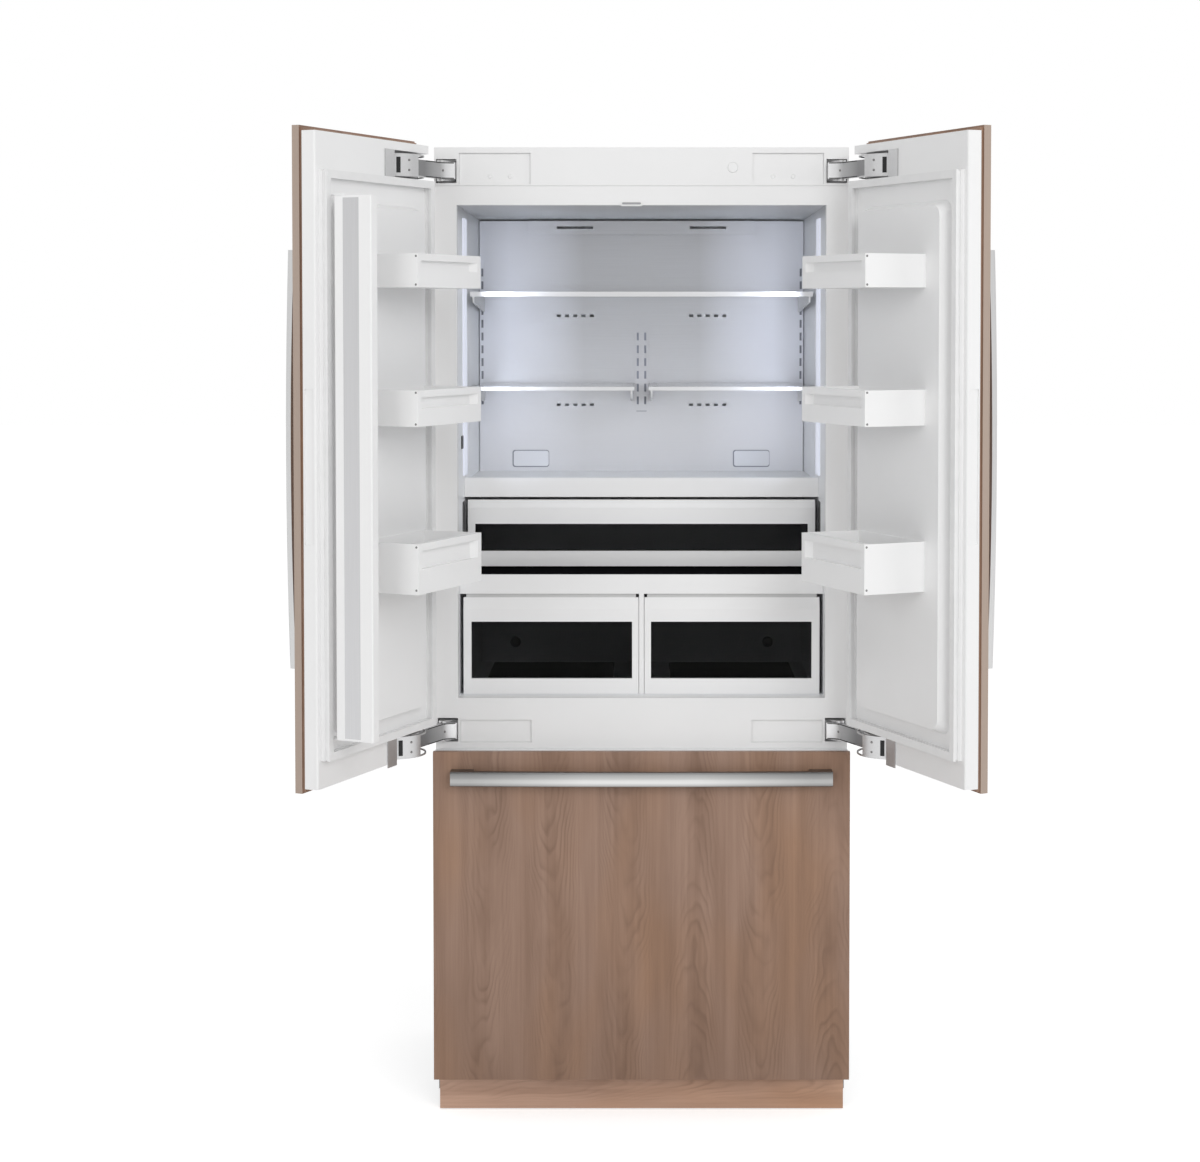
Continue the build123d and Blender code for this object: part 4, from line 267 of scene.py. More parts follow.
def wood_finish(name, settings, node, turn=0.0, upright=True, tone=1.0):
    """Plain-sawn veneer: arches up each leaf's middle, straight grain between, banded edges."""
    leaf, arch_width, arch_rise, shift, band_depth = 0.151, 0.025, 0.062, -0.038, 0.0006
    made = Finish(name, settings.wood, 0.45, **{"Specular IOR Level": 0.3})
    split = made.split(made.place((1, 1, 1), turn, (shift, 0, 0)))
    across, along = (split["X"], split["Z"]) if upright else (split["Z"], split["X"])

    def drift(side, length, detail, slice_at=0.0):
        """Noise stretched along the grain."""
        sides = {
            0: made.math("MULTIPLY", across, side),
            1: slice_at,
            2: made.math("MULTIPLY", along, length),
        }
        return made.noise(made.node("ShaderNodeCombineXYZ", sides).outputs[0], 1.0, detail, 0.55)

    place = made.math("DIVIDE", across, leaf)
    chance = made.node(
        "ShaderNodeTexWhiteNoise", {"W": made.math("FLOOR", place)}, noise_dimensions="1D"
    ).outputs["Value"]
    own = made.math("MULTIPLY", chance, 31.0)
    middle = made.math("MULTIPLY", made.math("SUBTRACT", made.math("FRACT", place), 0.5), leaf)
    inside = made.spread(made.math("ABSOLUTE", middle), 1.0, 0.0, 0.030, 0.066)
    local = made.math("ADD", middle, made.spread(drift(0, 2.6, 2, own), -0.045, 0.045))
    bow = made.math("POWER", made.math("DIVIDE", local, arch_width), 2.0)
    heading = made.spread(chance, -1.0, 1.0, 0.35, 0.36)
    rise = made.math("MULTIPLY", made.math("DIVIDE", along, arch_rise), heading)
    wander = made.spread(drift(15, 6, 2, own), -2.4, 2.4)
    field = made.math("ADD", made.math("ADD", bow, rise), wander)
    stops = ((0.0, 0.0), (0.40, 0.15), (0.74, 1.0), (1.0, 0.0))
    line = made.ramp(
        made.math("FRACT", field), *((stop, (level, level, level)) for stop, level in stops)
    )
    fine = (420, 420, 9) if upright else (9, 420, 420)
    pores = made.noise(made.place(fine, turn), 1, 3, 0.6)
    smoke = made.math(
        "MULTIPLY",
        made.spread(made.math("ABSOLUTE", local), 1.0, 0.25, 0.0, 0.06),
        made.spread(drift(13, 3.0, 3, 3.0), 0.0, 0.62, 0.42, 0.68),
    )
    shown = made.math("MULTIPLY", line, inside)
    patches = made.spread(drift(15, 4, 3, 7.0), 0.05, 0.48, 0.40, 0.66)
    shown = made.math("MULTIPLY", shown, patches)

    grained, dark = shade(settings.wood, tone), shade(settings.grain, tone)
    warm = tuple(part * factor for part, factor in zip(grained, (0.98, 0.88, 0.74)))
    for share, stain in (
        (made.spread(drift(5, 1.6, 2, 11.0), 0.0, 0.85, 0.46, 0.64), warm),
        (made.spread(drift(30, 1.5, 4, 5.0), 0.0, 0.42, 0.42, 0.70), shade(dark, 1.4)),
        (made.spread(drift(130, 2.2, 4), 0.0, 0.26, 0.40, 0.75), shade(dark, 1.25)),
        (smoke, shade(dark, 1.3)),
        (shown, shade(dark, 1.05)),
        (made.spread(pores, 0.0, 0.28, 0.62, 0.8), shade(dark, 0.8)),
    ):
        grained = made.mix(share, grained, stain)
    if upright:
        # Painted shade: the veneer darkens towards its bottom, from 0.72 m down to 0.1 m over the
        # floor
        foot = made.spread(along, 0.30, 0.0, 0.1, 0.72)
        grained = made.mix(foot, grained, shade(dark, 0.9))
        spin = Matrix.Rotation(turn, 3, "Z")
        reach = [(spin @ vert.co).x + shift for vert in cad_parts[node].data.vertices]
        first = made.math("LESS_THAN", across, min(reach) + band_depth)
        last = made.math("GREATER_THAN", across, max(reach) - band_depth)
        grain = made.spread(made.noise(made.place((700, 700, 5)), 1, 3, 0.6), 0.0, 0.5)
        band = made.mix(grain, settings.band, shade(settings.band, 0.72))
        grained = made.mix(made.math("MAXIMUM", first, last), grained, band)
    made.join("Base Color", grained)
    made.join("Roughness", made.spread(pores, 0.38, 0.54))
    made.bump(made.math("SUBTRACT", 1.0, made.spread(pores, 0.0, 1.0, 0.6, 0.8)), 0.00006)
    return made


def bar_finish(name, level):
    """Brushed level bar with painted light: painted shade greys its top and bottom edges, a painted
    highlight brightens it just under its middle, and painted shade darkens it towards its tips.
    """
    half_height, end_shade_from, end_shade_to = 0.016, 0.12, 0.37
    made = Finish(name, (0.56, 0.56, 0.56), 0.3, 1.0)
    split = made.split(made.place())
    # Painted light: this ramp across the bar's height is a painted highlight under its middle and
    # painted shade at its edges
    height = made.spread(split["Z"], 0.0, 1.0, level - half_height, level + half_height)
    stops = (
        (0.0, 0.30), (0.15, 0.50), (0.30, 0.68), (0.46, 0.66),
        (0.58, 0.50), (0.70, 0.43), (1.0, 0.30),
    )
    tone = made.ramp(height, *((stop, (part, part, part * 0.99)) for stop, part in stops))
    # Painted shade: the bar darkens by 40 percent towards its tips, from 0.12 m to 0.37 m out from
    # its middle
    end_shade = made.spread(made.math("ABSOLUTE", split["X"]), 1.0, 0.60, end_shade_from, end_shade_to)
    streak = made.noise(made.place(BRUSHED_ACROSS), 1, 4, 0.65)
    share = made.math("MULTIPLY", end_shade, made.spread(streak, 0.88, 1.06))
    made.join("Base Color", made.mix(share, (0.02, 0.02, 0.02), tone))
    made.join("Roughness", made.spread(streak, 0.24, 0.42))
    made.bump(streak, BRUSH_DEPTH, BRUSH_STRENGTH)
    return made


def rubber_finish(name, tone):
    """Soft matt seal."""
    made = Finish(name, tone, 0.6, **{"Specular IOR Level": 0.3})
    where = made.place()
    cloud = made.noise(where, 30, 3)
    made.join("Base Color", made.mix(cloud, shade(tone, 0.93), shade(tone, 1.03)))
    made.bump(made.noise(where, 1200, 2), 0.00005)
    return made


def glass_finish(name, tone, roughness=0.02, smear=0.02, index=1.46):
    """Pane with a faint smear in its gloss."""
    made = Finish(name, tone, roughness, **{"Transmission Weight": 1.0, "IOR": index})
    where = made.place((3, 3, 3))
    made.join("Roughness", made.spread(made.noise(where, 4, 4), roughness, roughness + smear))
    return made


def touch(node, start, heading):
    """Where a ray first meets a CAD node, and the face's outward direction there."""
    solid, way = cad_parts[node], Vector(heading).normalized()
    found, place, normal, _ = solid.ray_cast(Vector(start), way)
    if not found:
        raise RuntimeError(f"nothing of {node} lies that way")
    return place, normal


def facing(place, normal, up=(0, 0, 1)):
    """A frame at a place on a surface: its Z leaves the surface and its Y points up."""
    out = Vector(normal).normalized()
    side = Vector(up).cross(out)
    if side.length < 1e-4:
        side = Vector((1, 0, 0))
    side.normalize()
    axes = Matrix((side, out.cross(side), out)).transposed().to_4x4()
    return Matrix.Translation(place) @ axes


def seat(node, start, heading=INWARD, up=(0, 0, 1)):
    """A frame on the face of a CAD node that a ray first meets."""
    return facing(*touch(node, start, heading), up)


def block(sketch, low, high, edge=0.0, steps=2, place=None):
    """Add a box between two corners, with its edges rounded."""
    low, high = Vector(low), Vector(high)
    verts = bmesh.ops.create_cube(sketch, size=1)["verts"]
    bmesh.ops.scale(sketch, vec=high - low, verts=verts)
    bmesh.ops.translate(sketch, vec=(low + high) / 2, verts=verts)
    if place:
        bmesh.ops.transform(sketch, matrix=place, verts=verts)
    if edge:
        edges = list({line for vert in verts for line in vert.link_edges})
        bmesh.ops.bevel(
            sketch, geom=edges, offset=edge, segments=steps, profile=0.5, affect="EDGES",
            material=-1,
        )


def plate(sketch, width, height, low, high, corner, place):
    """Add a flat piece that lies on a place, with its four corners rounded."""
    verts = bmesh.ops.create_cube(sketch, size=1)["verts"]
    bmesh.ops.scale(sketch, vec=(width, height, high - low), verts=verts)
    bmesh.ops.translate(sketch, vec=(0, 0, (low + high) / 2), verts=verts)
    uprights = [
        line for line in {edge for vert in verts for edge in vert.link_edges}
        if abs(line.verts[0].co.z - line.verts[1].co.z) > (high - low) / 2
    ]
    rounded = bmesh.ops.bevel(
        sketch, geom=uprights, offset=corner, segments=4, profile=0.5, affect="EDGES", material=-1
    )
    whole = {vert for vert in verts if vert.is_valid}
    whole |= {vert for face in rounded["faces"] for vert in face.verts}
    bmesh.ops.transform(sketch, matrix=place, verts=list(whole))


def turned(sketch, profile, place, steps):
    """Add a round piece: a profile of radius and height spun about the place's Z."""
    verts = [sketch.verts.new((radius, 0, height)) for radius, height in profile]
    lines = [sketch.edges.new(pair) for pair in zip(verts, verts[1:])]
    made = bmesh.ops.spin(
        sketch, geom=verts + lines, cent=(0, 0, 0), axis=(0, 0, 1), angle=radians(360), steps=steps,
        use_merge=True, use_duplicate=False,
    )
    whole = set(verts)
    whole |= {vert for item in made["geom_last"] for vert in getattr(item, "verts", (item,))}
    grown = set(whole)
    while whole:
        near = {line.other_vert(vert) for vert in whole for line in vert.link_edges}
        whole = near - grown
        grown |= near
    bmesh.ops.transform(sketch, matrix=place, verts=list(grown))


def built(name, sketch, finish, body, smooth=False):
    """Finish a sketch as a piece: closed, facing outwards, dressed, and riding on its body."""
    bmesh.ops.remove_doubles(sketch, verts=sketch.verts, dist=1e-6)
    bmesh.ops.recalc_face_normals(sketch, faces=sketch.faces)
    mesh = bpy.data.meshes.new(name)
    sketch.to_mesh(mesh)
    sketch.free()
    mesh.materials.append(finish.material)
    piece = bpy.data.objects.new(name, mesh)
    bpy.context.collection.objects.link(piece)
    if smooth:
        mesh.shade_smooth()
    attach(piece, body)


class FRIDGE_OT_wood(bpy.types.Operator):
    """Dress the door, freezer and toe panels in veneer"""

    bl_idname = "fridge.wood"
    bl_label = "Wood panels"

    def execute(self, context):
        settings = context.scene.fridge_finish
        for node, turn in (
            ("freezer_panel", 0.0),
            ("left_door_panel", DOOR_SWING),
            ("right_door_panel", -DOOR_SWING),
        ):
            dress(wood_finish(f"{node}_veneer", settings, node, turn), node)
        # Painted light: the toe kick's veneer is 1.6 times brighter than the doors', lifting the
        # shade it sits in under the freezer panel
        toe = wood_finish("toe_veneer", settings, "toe_kick", upright=False, tone=1.6)
        dress(toe, "toe_kick")
        return {"FINISHED"}


class FRIDGE_OT_whites(bpy.types.Operator):
    """Coat the frame, doors, liners and drawers in their whites"""

    bl_idname = "fridge.whites"
    bl_label = "White surfaces"

    def execute(self, context):
        settings = context.scene.fridge_finish
        dress(
            enamel_finish("white_enamel", settings.enamel),
            "front_frame", "upper_fascia", "hinge_covers", "power_button", "deck", "freezer_shell",
        )
        dress(
            enamel_finish("door_enamel", settings.door_white),
            "left_door_shell", "right_door_shell", "left_door_liner", "right_door_liner",
        )
        liner = enamel_finish("cabinet_liner", settings.liner, 0.36)
        height = liner.split(liner.place())["Z"]
        top = max(vert.co.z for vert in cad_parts["fridge_liner"].data.vertices)
        # Painted shade: the liner darkens towards 0.68 of its white over its top 35 mm, the ceiling
        ceiling_shade_share = liner.spread(height, 0.0, 1.0, top - 0.035, top - 0.010)
        ceiling_shade = shade(settings.liner, 0.68)
        liner.join("Base Color", liner.mix(ceiling_shade_share, liner.under("Base Color"), ceiling_shade))
        dress(liner, "fridge_liner", "freezer_liner")
        dress(
            moulded_finish("white_moulding", settings.moulding),
            "left_door_bins", "right_door_bins", "wide_drawer", "left_crisper", "right_crisper",
            "crisper_rail", "freezer_basket", "freezer_tray", "freezer_duct", "mullion",
        )
        # Painted shade: the shelf frames take the moulding white darkened to 0.84, against the
        # light strips' glow on them
        dress(moulded_finish("shaded_shelf_moulding", shade(settings.moulding, 0.84)), "shelf_frames")
        dress(
            rubber_finish("door_seal", settings.gasket),
            "left_door_gasket", "right_door_gasket", "freezer_gasket",
        )
        return {"FINISHED"}


class FRIDGE_OT_metals(bpy.types.Operator):
    """Brush the handles, hinges, back wall, mullion plate and slides"""

    bl_idname = "fridge.metals"
    bl_label = "Metals"

    def execute(self, context):
        settings = context.scene.fridge_finish
        dress(
            brushed_finish("upright_handle_steel", settings.handle_steel, BRUSHED_UP),
            "left_door_handle", "right_door_handle",
        )
        dress(bar_finish("level_handle_steel", BAR_LEVEL), "freezer_handle")
        wall = brushed_finish("back_wall_steel", settings.back_steel, BRUSHED_ACROSS, 0.36)
        wall.shader.inputs["Metallic"].default_value = 0.5
        split = wall.split(wall.place())
        # Painted light: the base colour turns bluish white towards the wall's sides, standing for
        # the light strips' glow on it, and paler below 1.72 m, standing for light thrown up from
        # the deck
        side = wall.spread(wall.math("ABSOLUTE", split["X"]), 0.0, 0.90, 0.14, 0.32)
        low = wall.spread(split["Z"], 0.66, 0.0, 1.42, 1.72)
        tone = wall.mix(side, wall.under("Base Color"), (0.90, 0.92, 1.0))
        wall.join("Base Color", wall.mix(low, tone, (0.84, 0.84, 0.86)))
        dress(wall, "duct_panel", "shelf_rails")
        dress(
            brushed_finish("mullion_steel", settings.plate_steel, BRUSHED_UP, 0.40),
            "mullion_plate",
        )
        dress(
            brushed_finish("hinge_nickel", settings.nickel, CAST, 0.38),
            "hinge_brackets", "left_hinge_housings", "right_hinge_housings",
        )
        # Painted light and shade: the arms take a nickel 1.25 times brighter than the housings',
        # darkened towards 0.10 as they run out from 0.412 to 0.466 m, standing for the shading of
        # their curved faces
        arm = brushed_finish("arm_nickel", shade(settings.nickel, 1.25), CAST, 0.36)
        out = arm.math("ABSOLUTE", arm.split(arm.place())["X"])
        arm_shade = arm.spread(out, 0.0, 0.72, 0.412, 0.466)
        arm.join("Base Color", arm.mix(arm_shade, arm.under("Base Color"), (0.10, 0.10, 0.105)))
        dress(arm, "left_hinge_arms", "right_hinge_arms")
        dress(
            brushed_finish("slide_zinc", shade(settings.steel, 0.9), BRUSHED_INWARD, 0.38),
            "freezer_slides", "freezer_runners",
        )
        return {"FINISHED"}


class FRIDGE_OT_glass(bpy.types.Operator):
    """Glaze the shelves, drawer windows, touch panel and light strips"""

    bl_idname = "fridge.glass"
    bl_label = "Glass and light"

    def execute(self, context):
        dress(glass_finish("shelf_glass", (0.93, 0.97, 0.96)), "shelf_glass")
        dress(
            glass_finish("smoked_window", (0.245, 0.245, 0.255), 0.04, 0.03, 1.12),
            "wide_window", "left_crisper_window", "right_crisper_window",
        )
        panel = Finish("touch_glass", (0.008, 0.008, 0.009), 0.3, **{"Specular IOR Level": 0.0})
        panel.join("Roughness", panel.spread(panel.noise(panel.place((3, 3, 3)), 6, 4), 0.25, 0.4))
        dress(panel, "touch_panel")
        strip = Finish("light_diffuser", (0.30, 0.31, 0.34), 0.5)
        strip.shader.inputs["Emission Color"].default_value = (0.84, 0.87, 1.0, 1)
        strip.shader.inputs["Emission Strength"].default_value = 0.6
        strip.bump(strip.noise(strip.place(), 400, 2), 0.00005)
        dress(strip, "light_strips")
        return {"FINISHED"}


class FRIDGE_OT_machinery(bpy.types.Operator):
    """Finish the casing, foam, compressor, coils, fans, feet and board; plate the rear corners"""

    bl_idname = "fridge.machinery"
    bl_label = "Machinery"

    def execute(self, context):
        zinc = enamel_finish("grey_steel", (0.30, 0.31, 0.32), 0.45, 0.00006)
        dress(zinc, "casing", "base_frame", "machine_cover")
        plates, inner, outer = bmesh.new(), 0.4085, 0.4515
        for near, far in ((-outer, -inner), (inner, outer)):
            block(plates, (near, 0.5557, 0.0975), (far, 0.5576, 0.3015), 0.0004)
        built("rear_corner_plates", plates, zinc, "cabinet")
        foam = Finish("foam", (0.74, 0.66, 0.42), 0.85)
        where = foam.place()
        cells = foam.noise(where, 60, 4)
        foam.join("Base Color", foam.mix(cells, (0.62, 0.54, 0.32), (0.80, 0.73, 0.50)))
        foam.bump(foam.noise(where, 350, 4, 0.7), 0.0006)
        dress(foam, "insulation")
        black = enamel_finish("black_enamel", (0.018, 0.018, 0.02), 0.35, 0.00008)
        dress(black, "compressor", "condenser")
        coil = brushed_finish("coil_aluminium", (0.78, 0.79, 0.80), (40, 900, 900), 0.35)
        dress(coil, "evaporator")
        fan = moulded_finish("fan_plastic", (0.03, 0.03, 0.033), 0.5)
        dress(fan, "condenser_fan", "evaporator_fan")
        board = moulded_finish("board_lacquer", (0.03, 0.16, 0.07), 0.35)
        dress(board, "control_board")
        dress(rubber_finish("foot_rubber", (0.03, 0.03, 0.03)), "levelling_feet")
        return {"FINISHED"}


class FRIDGE_OT_hinge_trim(bpy.types.Operator):
    """Fit each hinge with its slot inlay, rivets, painted shadow lines along its arms' edges, and
    pin heads
    """

    bl_idname = "fridge.hinge_trim"
    bl_label = "Hinge trim"

    def execute(self, context):
        settings = context.scene.fridge_finish
        inlay = moulded_finish("hinge_inlay", (0.012, 0.012, 0.013), 0.5)
        rivet = brushed_finish("rivet_steel", shade(settings.steel, 0.42), CAST)
        for side, sign in (("left", -1), ("right", 1)):
            self.hinges(side, sign, inlay, rivet)
        head = (
            (0.0, 0.0016), (0.0040, 0.0014), (0.0056, 0.0007), (0.0060, -0.0004), (0.0, -0.0004)
        )
        pins = bmesh.new()
        for sign in (-1, 1):
            for level in HINGE_LEVELS:
                for rise in (1, -1):
                    start = (sign * HINGE_PIN[0], HINGE_PIN[1], level + rise * 0.05)
                    end = seat("hinge_brackets", start, (0, 0, -rise), (0, 1, 0))
                    turned(pins, head, end, 16)
        built("hinge_pin_heads", pins, rivet, "cabinet", True)
        return {"FINISHED"}

    def hinges(self, side, sign, inlay, rivet):
        """Fit one door's two hinges, by rays that meet them from in front."""
        dome = (
            (0.0, 0.0012), (0.0016, 0.0010), (0.0026, 0.0003), (0.0028, -0.0004), (0.0, -0.0004)
        )
        housings, arms = f"{side}_hinge_housings", f"{side}_hinge_arms"
        shade_line_rise, shade_line_from, shade_line_step = 0.0166, 0.4115, 0.0042
        slots, rivets, heads, shade_strips = bmesh.new(), bmesh.new(), bmesh.new(), bmesh.new()
        for level in HINGE_LEVELS:
            slot = seat(housings, (sign * 0.5090, -0.6, level))
            block(slots, (-0.0045, -0.0165, -0.0004), (0.0045, 0.0165, 0.0008), 0.0003, 1, slot)
            for rise in (0.0105, -0.0105):
                turned(rivets, dome, seat(housings, (sign * 0.4875, -0.6, level + rise)), 12)
            turned(heads, dome, seat(arms, (sign * 0.4324, -0.3, level)), 12)
            # Painted shadow: thin black strips along each arm's top and bottom edges stand for the
            # dark gaps above and below it
            for step in range(13):
                for rise in (-shade_line_rise, shade_line_rise):
                    start = (sign * (shade_line_from + shade_line_step * step), -0.3, level + rise)
                    spot, normal = touch(arms, start, INWARD)
                    half = 0.0022 / max(0.35, abs(normal[1]))
                    low, high = (-half, -0.0010, SEATED), (half, 0.0010, 0.0003)
                    block(shade_strips, low, high, 0, 1, facing(spot, normal))
        built(f"{side}_hinge_slots", slots, inlay, f"{side}_door")
        built(f"{side}_housing_rivets", rivets, rivet, f"{side}_door", True)
        built(f"{side}_arm_rivets", heads, rivet, arms, True)
        built(f"{side}_arm_shade_lines", shade_strips, inlay, arms)


class FRIDGE_OT_cabinet_trim(bpy.types.Operator):
    """Fit the door sensor, the mullion guide's insert, wall covers, ladder backs and painted gap
    shadows beside the wide drawer
    """

    bl_idname = "fridge.cabinet_trim"
    bl_label = "Cabinet trim"

    def execute(self, context):
        dark = moulded_finish("sensor_plastic", (0.014, 0.014, 0.015), 0.4)
        grey = moulded_finish("guide_plastic", (0.36, 0.36, 0.37), 0.5)
        line = moulded_finish("cover_outline", (0.30, 0.31, 0.35), 0.5)
        white = moulded_finish("cover_white", (0.84, 0.85, 0.88), 0.5)
        sensor = bmesh.new()
        place = seat("fridge_liner", (-0.30, 0.104, 1.4815), (-1, 0, 0))
        block(sensor, (-0.0150, -0.0145, -0.0006), (0.0150, 0.0145, 0.0022), 0.0006, 2, place)
        built("door_sensor", sensor, dark, "cabinet")
        insert = bmesh.new()
        place = seat("front_frame", (-0.0219, -0.3, 2.0113))
        plate(insert, 0.041, 0.0044, SEATED, 0.0005, 0.0018, place)
        built("mullion_guide_insert", insert, grey, "cabinet")
        outlines, covers = bmesh.new(), bmesh.new()
        for across in (-0.2687, 0.2663):
            place = seat("duct_panel", (across, 0.2, 1.4192))
            plate(outlines, 0.0890, 0.0415, SEATED, 0.0010, 0.0062, place)
            plate(covers, 0.0830, 0.0355, SEATED, 0.0022, 0.0040, place)
        built("wall_cover_frames", outlines, line, "cabinet")
        built("wall_covers", covers, white, "cabinet")
        slots = bmesh.new()
        low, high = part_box("shelf_rails")
        centre = seat("duct_panel", (0, 0.2, 1.6335))
        plate(slots, 0.0250, 0.2000, SEATED, 0.0004, 0.0010, centre)
        height = high[2] - low[2] - 0.006
        for across in (0.0055 - high[0], high[0] - 0.0055):
            place = seat("duct_panel", (across, 0.2, (low[2] + high[2]) / 2))
            plate(slots, 0.0060, height, SEATED, 0.0004, 0.0010, place)
        built("ladder_backs", slots, line, "cabinet")
        gap_shadows = bmesh.new()
        # Painted shadow: black strips on the liner's side walls beside the wide drawer's front
        # stand for the dark gaps there
        for sign in (-1, 1):
            place = seat("fridge_liner", (sign * 0.30, 0.136, 1.285), (sign, 0, 0))
            block(gap_shadows, (-0.022, -0.061, SEATED), (0.022, 0.061, 0.0003), 0, 1, place)
        built("wide_drawer_gap_shadows", gap_shadows, dark, "cabinet")
        return {"FINISHED"}


class FRIDGE_OT_drawer_trim(bpy.types.Operator):
    """Fit the drawers' window borders, the crispers' painted floor shadows, painted gap shades and
    vents, and the bins' pins
    """

    bl_idname = "fridge.drawer_trim"
    bl_label = "Drawer trim"

    def execute(self, context):
        black = moulded_finish("window_border", (0.004, 0.004, 0.004), 0.5)
        for node, body in (
            ("wide_window", "wide_drawer"),
            ("left_crisper_window", "left_crisper"),
            ("right_crisper_window", "right_crisper"),
        ):
            self.border(node, body, black)
        floor_shadow = rubber_finish("painted_floor_shadow", (0.010, 0.010, 0.011))
        vent = moulded_finish("vent_plastic", (0.16, 0.16, 0.16), 0.5)
        gap_shade = rubber_finish("painted_gap_shade", (0.62, 0.62, 0.62))
        pin = moulded_finish("pin_plastic", (0.22, 0.22, 0.22), 0.4)
        for side, sign in (("left", -1), ("right", 1)):
            self.crisper(side, sign, floor_shadow, gap_shade, vent)
            self.pins(side, sign, pin)
        return {"FINISHED"}

    def border(self, node, body, black):
        """Four strips round the front of a window."""
        low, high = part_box(node)
        border, wide, front = bmesh.new(), 0.0032, low[1]
        for left, right, bottom, top in (
            (low[0], high[0], high[2] - wide, high[2]), (low[0], high[0], low[2], low[2] + wide),
            (low[0], low[0] + wide, low[2], high[2]), (high[0] - wide, high[0], low[2], high[2]),
        ):
            block(border, (left, front - 0.0005, bottom), (right, front + 0.0002, top))
        built(f"{node}_border", border, black, body)

    def crisper(self, side, sign, floor_shadow, gap_shade, vent):
        """A painted shadow sheet on a crisper's floor, a painted shade strip in the gap over its
        front, and the vent in its back.
        """
        disc = (
            (0.0, 0.0012), (0.0060, 0.0012), (0.0072, 0.0030),
            (0.0120, 0.0030), (0.0132, 0.0), (0.0, -0.0004),
        )
        floor, shade_strips, vents = bmesh.new(), bmesh.new(), bmesh.new()
        # Painted shadow: a black sheet on the crisper's floor stands for the shade inside the
        # drawer
        spot, _ = touch(f"{side}_crisper", (sign * 0.21, 0.3, 1.04), (0, 0, -1))
        left, right = sorted((sign * 0.066, sign * 0.356))
        low, high = (left, 0.090, spot[2] - 0.0002), (right, 0.470, spot[2] + 0.0015)
        block(floor, low, high, 0.0006, 1)
        built(f"{side}_crisper_floor_shadow", floor, floor_shadow, f"{side}_crisper")
        # Painted shade: a grey strip fills the gap between the crisper's front and the rail above,
        # standing for the gap's soft shade
        low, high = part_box(f"{side}_crisper")
        under_rail = (sign * 0.2, low[1] + 0.007, high[2] - 0.03)
        spot, _ = touch("crisper_rail", under_rail, (0, 0, 1))
        inset = 0.006
        block(
            shade_strips, (low[0] + inset, low[1] + inset, high[2] - inset),
            (high[0] - inset, low[1] + 0.010, spot[2] - 0.0008),
        )
        built(f"{side}_crisper_gap_shade", shade_strips, gap_shade, f"{side}_crisper")
        place = seat(f"{side}_crisper", (sign * 0.3058, 0.3, 0.9743))
        turned(vents, disc, place, 24)
        built(f"{side}_crisper_vent", vents, vent, f"{side}_crisper", True)

    def pins(self, side, sign, pin):
        """The small pins in the ends of a door's bins."""
        dome = (
            (0.0, 0.0010), (0.0014, 0.0008), (0.0023, 0.0002), (0.0025, -0.0004), (0.0, -0.0004)
        )
        pins = bmesh.new()
        for across, inward, rise in BIN_PINS:
            place = seat(f"{side}_door_bins", LENS, (-sign * across, inward, rise))
            turned(pins, dome, place, 12)
        built(f"{side}_bin_pins", pins, pin, f"{side}_door", True)


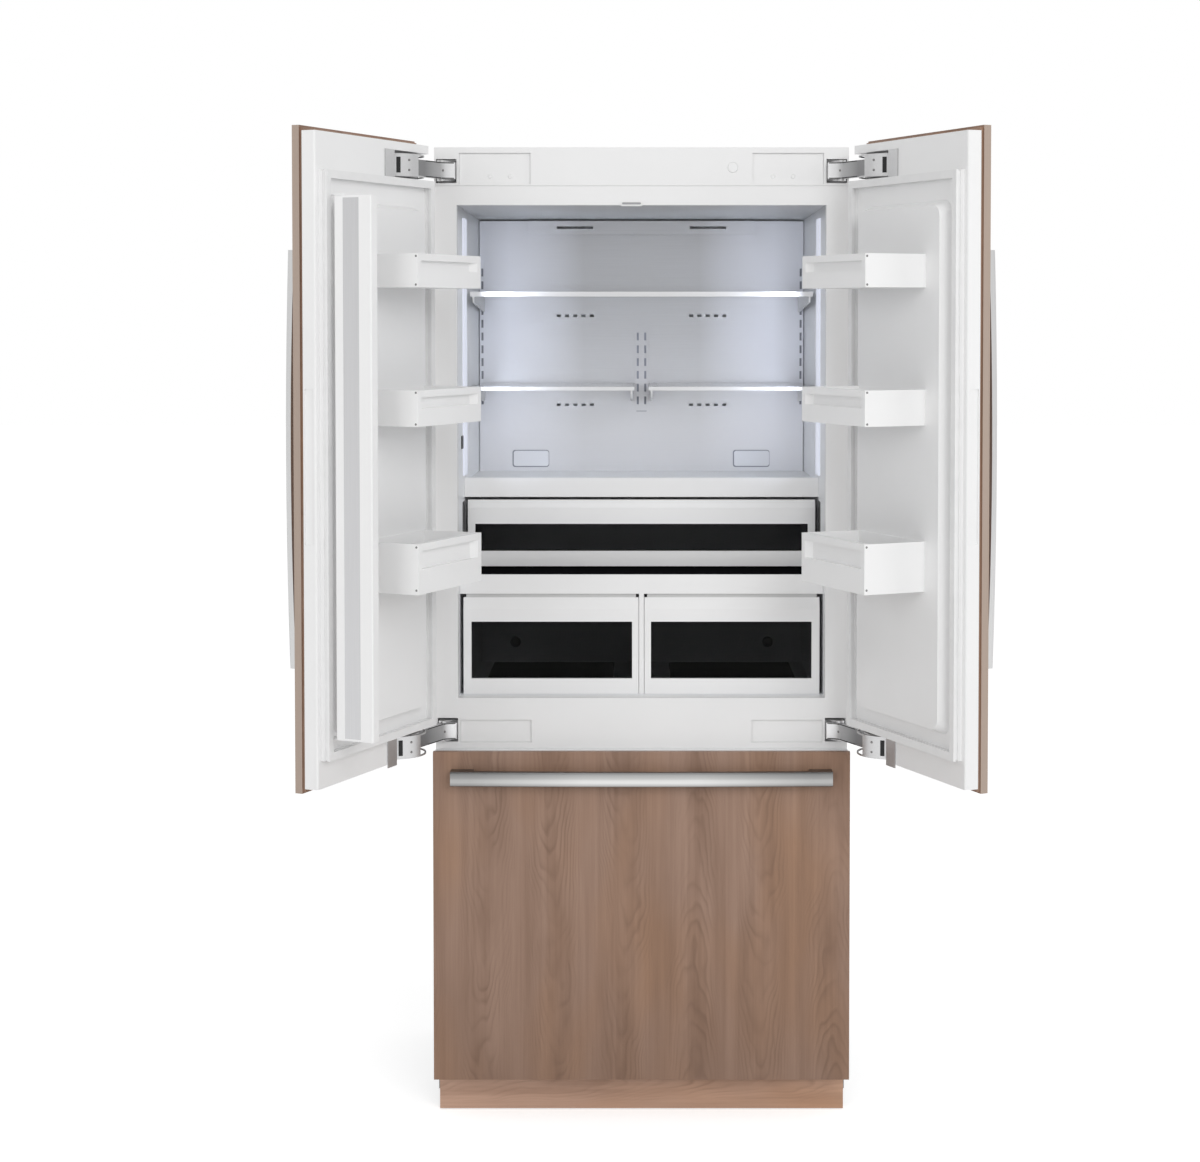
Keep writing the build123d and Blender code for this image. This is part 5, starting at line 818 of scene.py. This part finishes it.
class FRIDGE_OT_studio(bpy.types.Operator):
    """Set the floor, the even light, the lamps and the camera"""

    bl_idname = "fridge.studio"
    bl_label = "Studio"

    def execute(self, context):
        settings = context.scene.fridge_studio
        scene = context.scene
        scene.view_settings.view_transform = "Standard"
        self.world(scene, settings)
        self.floor()
        self.lamps(settings)
        self.camera(scene, settings)
        return {"FINISHED"}

    def world(self, scene, settings):
        """White where it is seen, mirrored or looked through, and an even pale light elsewhere."""
        world = bpy.data.worlds.new("studio_world")
        world.use_nodes = True
        scene.world = world
        nodes, links = world.node_tree.nodes, world.node_tree.links
        nodes.clear()
        path = nodes.new("ShaderNodeLightPath")
        seen = nodes.new("ShaderNodeMath")
        seen.operation = "MAXIMUM"
        links.new(path.outputs["Is Camera Ray"], seen.inputs[0])
        links.new(path.outputs["Is Transmission Ray"], seen.inputs[1])
        mirrored = nodes.new("ShaderNodeMath")
        mirrored.operation = "MAXIMUM"
        links.new(seen.outputs[0], mirrored.inputs[0])
        links.new(path.outputs["Is Glossy Ray"], mirrored.inputs[1])
        even, white = nodes.new("ShaderNodeBackground"), nodes.new("ShaderNodeBackground")
        even.inputs["Strength"].default_value = settings.ambient
        white.inputs["Strength"].default_value = 1.0
        for background in (even, white):
            background.inputs["Color"].default_value = (1, 1, 1, 1)
        mixer, output = nodes.new("ShaderNodeMixShader"), nodes.new("ShaderNodeOutputWorld")
        links.new(mirrored.outputs[0], mixer.inputs[0])
        links.new(even.outputs[0], mixer.inputs[1])
        links.new(white.outputs[0], mixer.inputs[2])
        links.new(mixer.outputs[0], output.inputs["Surface"])

    def floor(self):
        """A wide pale floor that shows and mirrors as white and keeps the shadow."""
        mesh = bpy.data.meshes.new("studio_floor")
        sketch = bmesh.new()
        bmesh.ops.create_grid(sketch, x_segments=1, y_segments=1, size=30)
        sketch.to_mesh(mesh)
        sketch.free()
        floor = bpy.data.objects.new("studio_floor", mesh)
        bpy.context.collection.objects.link(floor)
        seen_glow = 0.555
        pale = Finish("pale_floor", (0.80, 0.80, 0.80), 0.9, **{"Specular IOR Level": 0.0})
        path = pale.node("ShaderNodeLightPath")
        seen = path.outputs["Is Camera Ray"]
        for ray in ("Is Transmission Ray", "Is Glossy Ray"):
            seen = pale.math("MAXIMUM", seen, path.outputs[ray])
        pale.shader.inputs["Emission Color"].default_value = (1, 1, 1, 1)
        pale.join("Emission Strength", pale.math("MULTIPLY", seen, seen_glow))
        mesh.materials.append(pale.material)

    def lamps(self, settings):
        """A high front light, a fill from the left, a side light, and the strips' own glow."""
        plans = (
            ("key_light", (2.9, -7.7, 4.6), (0, 0, 1.2), (4.0, 4.0), settings.key),
            ("fill_light", (-3.9, -5.5, 3.0), (0, 0, 1.3), (3.0, 3.0), settings.key * 0.31),
            ("side_light", (6.5, -2.6, 3.0), (0, 0, 1.3), (3.0, 3.0), settings.key * 0.26),
            ("left_glow", (-0.36, 0.100, 1.70), (0.02, 0.5, 1.66), (0.04, 0.48), settings.glow),
            ("right_glow", (0.36, 0.100, 1.70), (-0.02, 0.5, 1.66), (0.04, 0.48), settings.glow),
        )
        for name, place, target, (width, height), power in plans:
            lamp = bpy.data.lights.new(name, "AREA")
            lamp.shape = "RECTANGLE"
            lamp.size, lamp.size_y = width, height
            lamp.energy = power
            if name.endswith("_glow"):
                lamp.color = (0.80, 0.85, 1.0)
                lamp.spread = radians(100)
            holder = bpy.data.objects.new(name, lamp)
            holder.visible_camera = False
            holder.visible_glossy = False
            holder.location = place
            aim = Vector(target) - Vector(place)
            holder.rotation_euler = aim.to_track_quat("-Z", "Y").to_euler()
            bpy.context.collection.objects.link(holder)

    def camera(self, scene, settings):
        """The photograph's view: straight at the front, a little downwards."""
        view = bpy.data.cameras.new("photo_camera")
        view.sensor_width = 36
        view.lens = settings.lens
        view.shift_x, view.shift_y = SHIFT
        view.clip_end = 200
        holder = bpy.data.objects.new("photo_camera", view)
        holder.location = (0, -settings.reach, settings.height)
        holder.rotation_euler = (radians(90 - TILT), 0, 0)
        bpy.context.collection.objects.link(holder)
        scene.camera = holder


STEPS = (
    FRIDGE_OT_wood, FRIDGE_OT_whites, FRIDGE_OT_metals, FRIDGE_OT_glass, FRIDGE_OT_machinery,
    FRIDGE_OT_hinge_trim, FRIDGE_OT_cabinet_trim, FRIDGE_OT_drawer_trim, FRIDGE_OT_studio,
)


class FRIDGE_PT_panel(bpy.types.Panel):
    """Lists the settings and the steps in their order"""

    bl_label = "Refrigerator"
    bl_idname = "FRIDGE_PT_panel"
    bl_space_type = "VIEW_3D"
    bl_region_type = "UI"
    bl_category = "Refrigerator"

    def draw(self, context):
        for settings in (context.scene.fridge_finish, context.scene.fridge_studio):
            for name in settings.bl_rna.properties.keys():
                if name not in ("rna_type", "name"):
                    self.layout.prop(settings, name)
        for step in STEPS:
            self.layout.operator(step.bl_idname)


CLASSES = (FinishSettings, StudioSettings, *STEPS, FRIDGE_PT_panel)


def register():
    for item in CLASSES:
        bpy.utils.register_class(item)
    bpy.types.Scene.fridge_finish = PointerProperty(type=FinishSettings)
    bpy.types.Scene.fridge_studio = PointerProperty(type=StudioSettings)


def unregister():
    del bpy.types.Scene.fridge_studio
    del bpy.types.Scene.fridge_finish
    for item in reversed(CLASSES):
        bpy.utils.unregister_class(item)


def main():
    """Run every step in order."""
    register()
    for step in STEPS:
        group, name = step.bl_idname.split(".")
        getattr(getattr(bpy.ops, group), name)()


if __name__ == "__main__":
    main()
